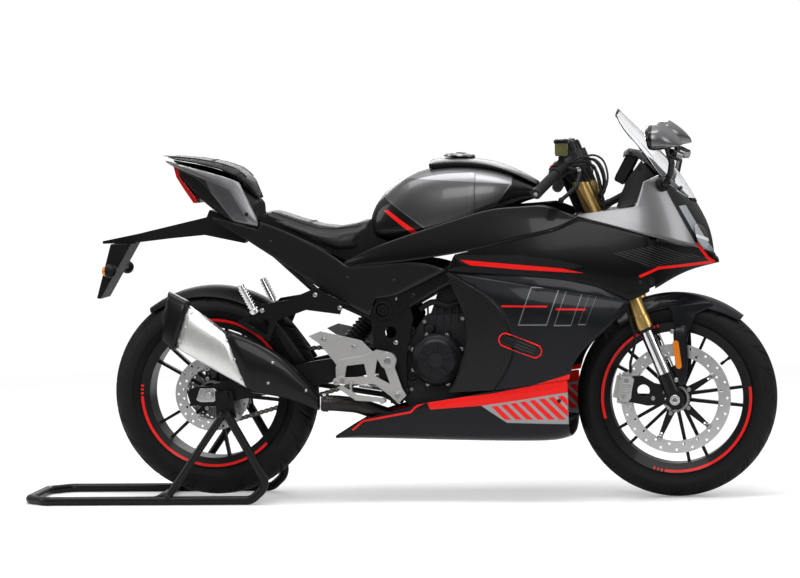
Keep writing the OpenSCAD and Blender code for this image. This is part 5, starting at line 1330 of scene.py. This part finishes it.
def bar_fittings():
    """Ribbed grips, switch pods with buttons, lever ends and bar-end screws."""
    rubber = Fittings("ribbed_grips", GRIP_RUBBER, "front_end", SLOT_OF["grips"])
    pods = Fittings("switch_pods", MOULDED_BLACK, "front_end", "black_plastic")
    screws = Fittings("bar_screws", BOLT_STEEL, "front_end", "polished")
    red = Fittings("stop_switch", BUTTON_RED, "front_end", "black_plastic")
    grey = Fittings("small_switches", BUTTON_GREY, "front_end", "black_plastic")
    for side in (RIGHT, LEFT):
        way = bar_way(side)
        ribs = [(11.4, 0.0), (20.5, 0.0), (21.0, 1.2), (21.0, 5.6), (20.0, 7.0), (16.0, 7.4)]
        for k in range(26):
            s = 9.0 + 4.2 * k
            ribs += [(15.0, s), (15.5, s + 0.7), (15.5, s + 2.6), (15.0, s + 3.3)]
        ribs += [(15.6, GRIP_LONG - 2.4), (15.0, GRIP_LONG), (11.4, GRIP_LONG)]
        rubber.turned(ribs, on_bar(GRIP_FROM, side), way, 32)
        face = Vector((-0.62, 0.0, 0.78))
        face = (face - way * face.dot(way)).normalized()
        over = way.cross(face)
        middle = on_bar(88.0, side) + face * (12.0 * MM)
        outline = [middle + (way * a + over * b) * MM for a, b in (
            (-22, -12), (-19, -16), (18, -16), (22, -12), (22, 12), (18, 16), (-19, 16), (-22, 12))]
        pods.plate(outline, face * (12.0 * MM))
        top = middle + face * (12.0 * MM)
        grey.block(top + (way * -10.0 + over * 6.0) * MM, way * (5 * MM), over * (4 * MM), face * (2.4 * MM))
        grey.turned([(4.5, -1.0), (4.5, 3.0), (3.6, 4.0), (0.0, 4.0)],
                    top + (way * 2.0 - over * 7.0) * MM, face, 16)
        switch = red if side == RIGHT else grey
        switch.block(top + (way * 11.0 + over * 3.0) * MM, way * (5 * MM), over * (6 * MM), face * (2.8 * MM))
        screws.bolt(on_bar(BAR_LONG - 0.5, side), way, 6.0, 3.0)
        tip = on_bar(GRIP_FROM + 108.0, side) + Vector((60.0, 0.0, -30.0)) * MM
        pods.turned([(0.0, -9.0), (5.5, -7.0), (8.0, -3.0), (8.6, 1.0), (7.0, 6.0), (3.0, 8.8), (0.0, 9.2)],
                    tip, way, 20)
        pivot = on_bar(GRIP_FROM - 30.0, side) + Vector((50.0, 0.0, -6.0)) * MM
        screws.bolt(pivot + UPWARD * (6.0 * MM), UPWARD, 6.5, 5.0)
        grey.turned([(7.0, 0.0), (7.6, 2.0), (7.6, 8.0), (7.0, 10.0), (0.0, 10.0)], pivot, AHEAD, 12)
    rubber.done(0.0, "grips")
    pods.done(1.2)
    screws.done()
    red.done(0.8)
    grey.done(0.8)


def cockpit_fittings():
    """Display in its bezel, and the mirrors' glass, feet and indicator lenses."""
    facing = Vector((-cos(radians(28)), 0.0, sin(radians(28))))
    rise = Vector((sin(radians(28)), 0.0, cos(radians(28))))
    across = Vector((0.0, 1.0, 0.0))
    middle = at(1236.0, 0.0, 968.0) + facing * (13.0 * MM)

    def rounded(wide, high, corner):
        return [(sx * (wide - corner) + corner * cos(radians(a)),
                 sz * (high - corner) + corner * sin(radians(a)))
                for sx, sz, first in ((1, 1, 0), (-1, 1, 90), (-1, -1, 180), (1, -1, 270))
                for a in (first + 18 * k for k in range(6))]

    bezel = Fittings("dash_bezel", MOULDED_BLACK, "chassis", "black_plastic")
    bezel.plate([middle + (across * y + rise * z) * MM for y, z in rounded(83.0, 46.0, 12.0)],
                facing * (4.0 * MM))
    bezel.done(2.0)
    glass = Fittings("dash_display", DASH_GLASS, "chassis", "screen")
    glass.plate([middle + (across * y + rise * z + facing * 3.6) * MM for y, z in rounded(74.0, 37.0, 9.0)],
                facing * (1.4 * MM))
    glass.done(0.4)

    silver = Fittings("mirror_glass", MIRROR, "chassis", "polished")
    amber = Fittings("mirror_indicators", LAMP_CLEAR, "chassis", "lamp_clear")
    feet = Fittings("mirror_feet", MOULDED_BLACK, "chassis", "black_plastic")
    for side in (RIGHT, LEFT):
        outline = []
        for k in range(40):
            a = tau * k / 40
            c, w = (abs(f(a)) ** 0.8 * (1 if f(a) > 0 else -1) for f in (cos, sin))
            outline.append(at(1310.6 - 5.3 * c, side * (280.0 - 74.0 * w), 1058.0 + 29.0 * c + 7.0 * w))
        silver.plate(outline, AHEAD * (1.8 * MM))
        turn = Matrix.Rotation(radians(-side * 40.0), 3, "Z") @ Matrix.Rotation(radians(20.0), 3, "Y")
        lens = at(1386.0, side * 226.0, 1006.0) + turn @ Vector((9.0, 0.0, 0.0)) * MM
        amber.block(lens, turn @ AHEAD * (12.0 * MM), turn @ across * (12.4 * MM), turn @ UPWARD * (8.0 * MM))
        out = Vector((0.611, side * 0.751, 0.25)).normalized()
        seat = at(1344.4, side * 141.0, 921.0) + out * (2.0 * MM)
        feet.turned([(22.0, -1.0), (22.0, 3.0), (19.0, 6.0), (13.0, 10.0), (0.0, 12.0)], seat, out, 28)
    silver.done(0.4)
    amber.done(2.0)
    feet.done(0.5)


SEAM_ALONG = range(732, 1246, 12)
NOSE_SEAM = range(618, 770, 6)


def first_met(node, places, side):
    """The first of some places, in X and Z, where a node has a side wall."""
    for x, z in places:
        spot, _ = side_spot(node, x, z, side)
        if spot and spot.y * side > 0:
            return spot
    return None


def panel_seams():
    """Lips that close the seams between the upper fairing, the side fairing and the nose."""
    shoulder = Fittings("fairing_shoulders", CHARCOAL_LACQUER, "chassis", SLOT_OF["side_fairings"])
    joint = Fittings("nose_joints", GLOSS_BLACK, "chassis", SLOT_OF["nose_lower"])
    for side in (RIGHT, LEFT):
        inward = OUT[side] * -MM
        rows = []
        for x in SEAM_ALONG:
            high = first_met("upper_fairing", [(x, z) for z in range(540, 760, 2)], side)
            low = first_met("side_fairings", [(x, z) for z in range(720, 480, -2)], side)
            if high and low and high.z > low.z:
                rows.append([
                    high + inward * 9.0 + UPWARD * (7.0 * MM), high.lerp(low, 0.25) + inward * 6.0,
                    high.lerp(low, 0.75) + inward * 1.6, low + inward * 2.0 - UPWARD * (3.0 * MM),
                    low + inward * 5.0 - UPWARD * (10.0 * MM),
                ])
        shoulder.sheet(rows, inward * 2.0)
        rows = []
        for z in NOSE_SEAM:
            back = first_met("upper_fairing", [(1303, z)], side)
            front = first_met("nose_lower", [(1336, z)], side)
            if back and front:
                rows.append([
                    back + inward * 4.0, back.lerp(front, 0.16) + inward,
                    back.lerp(front, 0.5) + inward * 0.4,
                    back.lerp(front, 0.84) + inward, front + inward * 4.0,
                ])
        joint.sheet(rows, inward * 2.0)
    shoulder.done()
    joint.done()


SLOT_ENDS = ((888.0, 479.0), (974.0, 446.0))
SLOT_HALF = 19.0


def side_vents():
    """Slots with a red rim and three slats on the flanks."""
    rim = Fittings("vent_rims", RED_TRIM, "chassis", SLOT_OF["side_fairings"])
    dark = Fittings("vent_slats", GLOSS_BLACK, "chassis", SLOT_OF["side_fairings"])
    (x0, z0), (x1, z1) = SLOT_ENDS
    long = hypot(x1 - x0, z1 - z0)
    run, over = ((x1 - x0) / long, (z1 - z0) / long), (-(z1 - z0) / long, (x1 - x0) / long)

    def on_flank(s, w, lift, side):
        x, z = x0 + run[0] * s + over[0] * w, z0 + run[1] * s + over[1] * w
        near = [(x + dx, z) for dx in (0.0, 2.0, -2.0, 5.0, -5.0)]
        spots = [first_met(node, near, side) for node in ("side_fairings", "duct_panels")]
        out = max(abs(spot.y) for spot in spots if spot)
        return at(x, 0.0, z) + OUT[side] * (out + lift * MM)

    for side in (RIGHT, LEFT):
        route = []
        for k in range(48):
            a = tau * k / 48
            route.append(on_flank(
                (long if cos(a) > 0 else 0.0) + SLOT_HALF * cos(a), SLOT_HALF * sin(a), 1.2, side
            ))
        rim.swept(route, 2.3, 8, True)
        rows = []
        for k in range(17):
            s = -0.94 * SLOT_HALF + (long + 1.88 * SLOT_HALF) * k / 16
            past = max(0.0, -s, s - long)
            half = (SLOT_HALF ** 2 - past ** 2) ** 0.5
            rows.append([on_flank(s, half * w / 4, 0.8, side) for w in range(-4, 5)])
        dark.sheet(rows, OUT[side] * (0.8 * MM))
        for w in (-8.5, 0.0, 8.5):
            dark.swept([on_flank(long * k / 8, w, 2.2, side) for k in range(9)], 2.0, 8)
    rim.done()
    dark.done()


# Inner cockpit wall: its edge on the nose cowl and its free edge, on the right
WALL_FRONT = [(1150, -190, 842), (1232, -188, 853), (1272, -180, 868), (1291, -160, 930), (1322, -140, 944)]
WALL_REAR = [(1166, -166, 838), (1212, -160, 858), (1226, -156, 898), (1246, -154, 940), (1284, -142, 990)]
# Hood over the display: distance ahead, half width and height
HOOD = [
    (1228, 86, 1017), (1240, 90, 1024), (1268, 96, 1018), (1306, 100, 990), (1346, 104, 948), (1385, 94, 908),
    (1416, 54, 880),
]


def cockpit_walls():
    """Inner walls beside the display and the hood that shades it."""
    walls = Fittings("cockpit_walls", MOULDED_BLACK, "chassis", "black_plastic")
    for side in (RIGHT, LEFT):
        rows = []
        for front, rear in zip(WALL_FRONT, WALL_REAR):
            a, b = (at(x, -side * y, z) for x, y, z in (front, rear))
            rows.append([
                a, a.lerp(b, 0.35) + OUT[side] * (3.0 * MM), a.lerp(b, 0.7) + OUT[side] * (2.0 * MM), b
            ])
        walls.sheet(rows, OUT[side] * (-3.0 * MM))
    walls.sheet([[at(x, half * v / 5, z - 16.0 * (v / 5) ** 4) for v in range(-5, 6)] for x, half, z in HOOD],
                UPWARD * (-3.0 * MM))
    walls.done()


# Control cables on the right: from the bar, round ahead of the fork, in between the yokes
CABLES = [
    (4.5, 52.0,
     [(1120, -166, 990), (1148, -128, 968), (1160, -100, 930), (1160, -70, 898), (1140, -48, 868)]),
    (3.2, 68.0,
     [(1112, -178, 1002), (1150, -140, 990), (1168, -100, 950), (1166, -62, 910), (1142, -34, 876)]),
]


def smooth_route(points):
    """A smooth route through places in millimetres."""
    route = []
    for a, b, c, d in zip([points[0]] + points, points, points[1:], points[2:] + [points[-1]]):
        a, b, c, d = (Vector(p) for p in (a, b, c, d))
        for k in range(8):
            s = k / 8
            spot = b + (c - a) * (s / 2) + (2 * a - 5 * b + 4 * c - d) * (s * s / 2) + (
                3 * (b - c) + d - a) * (s ** 3 / 2)
            route.append(at(*spot))
    return route + [at(*points[-1])]


def control_cables():
    """Cables held between the bars and the yokes."""
    cables = Fittings("control_cables", GRIP_RUBBER, "front_end", "grip_rubber")
    for side in (RIGHT, LEFT):
        for radius, start, points in CABLES:
            root = BAR_ROOT + BAR_ALONG * start
            places = [(root.x, root.y, root.z)] + points
            cables.swept(smooth_route([(x, -side * y, z) for x, y, z in places]), radius, 10)
    cables.done()


SEAT_BASE = [
    (150, 836), (180, 846), (258, 815), (328, 790), (382, 778), (436, 780), (470, 800), (488, 832),
    (520, 800), (560, 768), (600, 760), (560, 720), (500, 704), (430, 700), (400, 714), (300, 768),
    (166, 818),
]


def seat_base():
    """Moulded base between the seat, the tank and the side covers."""
    base = Fittings("seat_base", MOULDED_BLACK, "chassis", "black_plastic")
    for side in (RIGHT, LEFT):
        base.plate([at(x, side * 88.0, z) for x, z in SEAT_BASE], OUT[side] * (4.0 * MM))
    base.done(1.0)


PANEL_SCREWS = {
    "side_fairings": [(1195, 566), (880, 402), (1062, 398)],
    "upper_fairing": [(1280, 640)],
    "belly_pan": [(660, 262), (1040, 300)],
    "side_covers": [(190, 768), (420, 660), (560, 652)],
    "tail_cowl": [(118, 850)],
    "windscreen": [(1350, 938), (1390, 906)],
}


def panel_screws():
    """Screws that hold the panels, set on both sides."""
    screws = Fittings("panel_screws", DARK_BOLT, "chassis", "black_plastic")
    for node, spots in PANEL_SCREWS.items():
        for side in (RIGHT, LEFT):
            for x, z in spots:
                spot, normal = side_spot(node, x, z, side)
                if spot:
                    screws.dome(spot, normal, 6.0, 2.4)
    screws.done()


def tank_cap():
    """Filler cap with its ring of screws and key flap."""
    spot, normal = top_spot("tank_cover", 740.0, 0.0)
    ring = Fittings("filler_ring", BOLT_STEEL, "chassis", "polished")
    ring.turned([(46.0, -2.0), (46.0, 3.0), (44.0, 5.0), (35.0, 5.0), (34.0, 3.5)], spot, normal, 48)
    lid = Fittings("filler_lid", FRAME_BLACK, "chassis", "black_frame")
    lid.turned([(34.0, 0.0), (34.0, 5.0), (32.0, 7.0), (10.0, 8.4), (0.0, 8.4)], spot, normal, 48)
    side = normal.orthogonal().normalized()
    third = normal.cross(side)
    lid.block(spot + normal * (9.0 * MM) + side * (6.0 * MM),
              side * (13.0 * MM), third * (9.0 * MM), normal * (2.0 * MM))
    for k in range(7):
        a = tau * k / 7
        ring.bolt(spot + (side * cos(a) + third * sin(a)) * (40.0 * MM) + normal * (5.0 * MM),
                  normal, 3.4, 2.0)
    ring.done(0.4)
    lid.done(0.6)


def engine_fittings():
    """Cover screws, case screws, filler plug, coolant hoses and case ribs."""
    screws = Fittings("engine_screws", BOLT_STEEL, "chassis", "polished")
    for k in range(8):
        a = tau * (k + 0.5) / 8
        screws.bolt(at(680 + 78 * cos(a), -142.3, 419 + 78 * sin(a)), OUT[RIGHT], 5.5, 5.0)
        a = tau * k / 8
        screws.bolt(at(712 + 70 * cos(a), 132.3, 400 + 70 * sin(a)), OUT[LEFT], 5.0, 5.0)
    for x, z in ((640, 528), (752, 536), (598, 330), (640, 252), (752, 248), (842, 282), (592, 452)):
        for side in (RIGHT, LEFT):
            if side == RIGHT or x > 690 or z < 345 or z > 505:
                screws.bolt(at(x, side * 104.0, z), OUT[side], 6.0, 6.0)
    for x, z in ((594, 396), (592, 440), (612, 476), (648, 482), (655, 386)):
        screws.bolt(at(x, 124.3, z), OUT[LEFT], 5.0, 4.0)
    screws.done()
    plug = Fittings("oil_plug", DARK_BOLT, "chassis", "cover_metal")
    plug.turned([(19.0, -1.0), (19.0, 4.0), (16.0, 5.0), (15.0, 14.0), (13.0, 16.0), (0.0, 16.0)],
                at(655.0, -104.0, 508.0), OUT[RIGHT], 14)
    plug.turned([(22.0, 0.0), (22.0, 2.5), (0.0, 2.5)], at(680.0, -181.0, 419.0), OUT[RIGHT], 32)
    plug.done(0.6)
    hoses = Fittings("coolant_hoses", GRIP_RUBBER, "chassis", "grip_rubber")
    hoses.swept(smooth_route([(992, -132, 420), (952, -134, 396), (900, -122, 410), (866, -96, 430)]),
                14.0, 14)
    hoses.swept(smooth_route([(964, 132, 628), (924, 126, 664), (880, 112, 672), (842, 92, 640)]),
                14.0, 14)
    hoses.swept(smooth_route([(628, -112, 566), (668, -120, 586), (716, -118, 576), (764, -110, 596)]),
                9.0, 12)
    hoses.done()
    ribs = Fittings("case_ribs", CAST_DARK, "chassis", SLOT_OF["engine"])
    for k in range(6):
        ribs.block(at(650.0 + 22.0 * k, -104.0, 546.0),
                   AHEAD * (2.5 * MM), OUT[RIGHT] * (5.0 * MM), UPWARD * (26.0 * MM))
    for x, z in ((598, 500), (770, 330), (602, 372)):
        ribs.turned([(16.0, -1.0), (16.0, 8.0), (13.0, 11.0), (7.0, 11.0), (6.0, 6.0), (0.0, 6.0)],
                    at(x, -104.0, z), OUT[RIGHT], 20)
    ribs.done(0.8)


# Block about the rear axle, and the distance out of the pillion pegs' tips
AXLE_BLOCK = [(-67, 330), (-37, 346), (29, 346), (50, 315), (16, 286), (-56, 290)]
PEG_OUT = 198.0


def frame_fittings():
    """Frame caps and screws, chain adjusters, blocks about the rear axle, peg ribs and sprocket nuts."""
    screws = Fittings("frame_screws", BOLT_STEEL, "chassis", "polished")
    caps = Fittings("frame_caps", MOULDED_BLACK, "chassis", "black_plastic")
    arm = Vector((540.0, 0.0, 100.0)).normalized()
    for side in (RIGHT, LEFT):
        caps.turned([(19.6, -1.0), (19.6, 6.0), (17.5, 9.0), (9.0, 9.0), (8.0, 5.0), (0.0, 5.0)],
                    at(524.0, side * 148.0, 566.0), OUT[side], 32)
        screws.bolt(at(540.0, side * 190.0, 420.0), OUT[side], 11.0, 5.0)
        screws.bolt(at(568.0, side * 194.3, 318.0), OUT[side], 8.5, 5.0)
        for x, z in ((352, 484), (440, 462)):
            screws.dome(at(x, side * 185.0, z), OUT[side], 6.5, 3.0)
        for x, z in ((400, 575), (328, 614), (170, 570)):
            screws.dome(at(x, side * 176.0, z), OUT[side], 8.0, 4.0)
        screws.bolt(at(398.0, side * 268.0, 366.0), OUT[side], 5.0, 2.5)
        end = at(0.0, side * 123.0, 320.0) - arm * (42.0 * MM)
        screws.bolt(end, -arm, 7.0, 9.0)
        screws.nut(end, -arm, 9.0, 3.0)
        for x, z in ((560, 470), (555, 350), (560, 600)):
            screws.dome(at(x, side * 152.0, z), OUT[side], 8.0, 3.5)
        caps.plate([at(x, side * 137.6, z) for x, z in AXLE_BLOCK], OUT[side] * (-11.0 * MM))
        screws.nut(at(0.0, side * 142.3, 320.0), OUT[side], 15.0, 8.0)
    screws.done()
    caps.done(0.5)
    pegs = Fittings("peg_ribs", POLISHED, "chassis", SLOT_OF["pillion_pegs"])
    for side in (RIGHT, LEFT):
        foot, tip = at(152.0, side * (PEG_OUT - 11.4), 562.0), at(110.0, side * PEG_OUT, 646.0)
        along = (tip - foot).normalized()
        for k in range(7):
            pegs.turned([(9.4, -2.6), (12.4, -1.8), (12.4, 1.8), (9.4, 2.6)],
                        foot + along * ((26.0 + 9.0 * k) * MM), along, 24)
        pegs.turned([(9.4, 2.0), (14.0, 3.0), (14.0, 14.0), (9.4, 18.0)], foot, along, 24)
    pegs.done()
    nuts = Fittings("sprocket_nuts", BOLT_STEEL, "rear_wheel", "disc_steel")
    for k in range(5):
        nuts.nut(round_axle(REAR_AXLE, 48.0, 36.0 + 72.0 * k, 96.0), OUT[LEFT], 8.0, 5.0)
    nuts.done()


def silencer_fittings():
    """Outlet, rivets and clamp of the silencer."""
    dark = Fittings("silencer_outlet", PIPE_STEEL, "chassis", "pipe_steel")
    back = Vector((-0.989, 0.0, 0.145))
    mouth = at(-115.0, -181.0, 559.0)
    dark.turned([(30.0, -2.0), (30.0, 2.5), (28.5, 4.0), (26.0, 4.0), (25.0, 0.0), (25.0, -1.5)],
                mouth, back, 36)
    dark.turned([(25.0, 0.6), (0.0, 0.4)], mouth, back, 36)
    pipe = Vector((-41.4, -7.0, 2.0)).normalized()
    joint = at(352.0, -174.7, 297.4)
    dark.turned([(23.2, -9.0), (25.6, -9.0), (26.2, -6.0), (26.2, 6.0), (25.6, 9.0), (23.2, 9.0)],
                joint, pipe, 36)
    dark.done(0.4)
    rivets = Fittings("silencer_rivets", BOLT_STEEL, "chassis", "polished")
    for node, spots in {
        "muffler": [(-34, 566), (-52, 524), (-70, 482), (70, 486), (92, 430), (112, 372)],
        "muffler_shield": [(205, 420), (190, 360), (300, 336)],
    }.items():
        for side in (RIGHT, LEFT):
            for x, z in spots:
                spot, normal = side_spot(node, x, z, side)
                if spot:
                    rivets.turned([(4.2, -1.0), (4.2, 0.4), (3.0, 1.6), (0.0, 2.0)], spot, normal, 14)
    rivets.bolt(joint + Vector((0.0, -18.0, 20.0)) * MM, Vector((0.0, -0.7, 0.7)), 5.0, 8.0)
    rivets.done()


def tail_fittings():
    """Rear indicator lenses, reflector and screws of the plate hanger."""
    amber = Fittings("rear_indicators", LAMP_AMBER, "chassis", "lamp_red")
    for side in (RIGHT, LEFT):
        amber.turned([(15.6, -2.0), (15.6, 1.0), (14.0, 5.0), (9.0, 8.4), (0.0, 9.6)],
                     at(-305.0, side * 128.0, 689.0), -AHEAD, 28)
    amber.done()
    facing = Vector((-0.963, 0.0, 0.271))
    red = Fittings("rear_reflector", LAMP_TAIL, "chassis", "lamp_red")
    red.turned([(24.0, -1.0), (24.0, 3.0), (22.5, 4.5), (0.0, 4.8)], at(-338.0, 0.0, 630.0), facing, 36)
    red.done(0.4)
    screws = Fittings("hanger_screws", BOLT_STEEL, "chassis", "polished")
    for y in (-45.0, 45.0):
        for x, z in ((-308.0, 738.0), (-324.0, 680.0)):
            screws.dome(at(x, y, z), facing, 6.0, 3.0)
    screws.done()


WELD_BEAD = [(10.5, -4.0), (12.6, -2.4), (13.4, 0.0), (12.6, 2.4), (10.5, 4.0)]


def stand_fittings():
    """Weld beads on the paddock stand, and the side stand's spring."""
    welds = Fittings("stand_welds", FRAME_BLACK, "chassis", "black_frame")
    for side in (RIGHT, LEFT):
        foot = at(-129.0, side * 187.0, 13.2)
        top = at(51.0, side * 187.0, 270.0)
        lean = (top - foot).normalized()
        welds.turned(WELD_BEAD,
                     foot + lean * (15.0 * MM), lean, 24)
        welds.turned(WELD_BEAD,
                     top - lean * (15.0 * MM), lean, 24)
        welds.turned([(10.5, -4.0), (12.6, -2.0), (12.9, 0.0), (12.6, 2.0), (10.5, 4.0)],
                     at(-160.0, side * 172.5, 13.2), OUT[LEFT], 24)
    welds.done()
    spring = Fittings("side_stand_spring", BOLT_STEEL, "side_stand", "polished")
    start = at(520.0, 166.0, 286.0)
    along = Vector((-0.987, 0.0, 0.16)).normalized()
    lift = Vector((0.16, 0.0, 0.987)).normalized()
    axis = start + lift * (15.5 * MM)
    coil = []
    for k in range(12 * 20 + 1):
        a = tau * k / 12
        coil.append(axis + along * ((36.0 + 4.2 * k / 12) * MM) + (
            lift * cos(a) + Vector((0.0, 1.0, 0.0)) * sin(a)) * (5.0 * MM))
    spring.swept(coil, 1.3, 6)
    spring.done()


stage()
camera()
for name, material in MOULDINGS.items():
    moulded(name, material, crease=0.0 if name == "headlamps" else 0.85)
for name, material in MACHINED.items():
    machined(name, material)
tyre("front_tyre", FRONT_AXLE, 293.0, 110.0, 38.0)
tyre("rear_tyre", REAR_AXLE, 306.0, 150.0, 56.0)
wheel_fittings(FRONT_AXLE, "front_wheel", 71.0, 124.0)
wheel_fittings(REAR_AXLE, "rear_wheel", 88.0, 76.0)
chain_pins()
fork_fittings()
bar_fittings()
cockpit_fittings()
cockpit_walls()
control_cables()
panel_seams()
side_vents()
panel_screws()
seat_base()
tank_cap()
engine_fittings()
frame_fittings()
silencer_fittings()
tail_fittings()
stand_fittings()
sewn("rider_seat", cushion("rider_seat", 5.0, 6.0), RIDER_WIDTHS, 0.66, 186.0, 452.0, [300.0])
sewn("pillion_seat", cushion("pillion_seat", 4.0, 5.0), PILLION_WIDTHS, 0.66, -128.0, 112.0, [10.0])
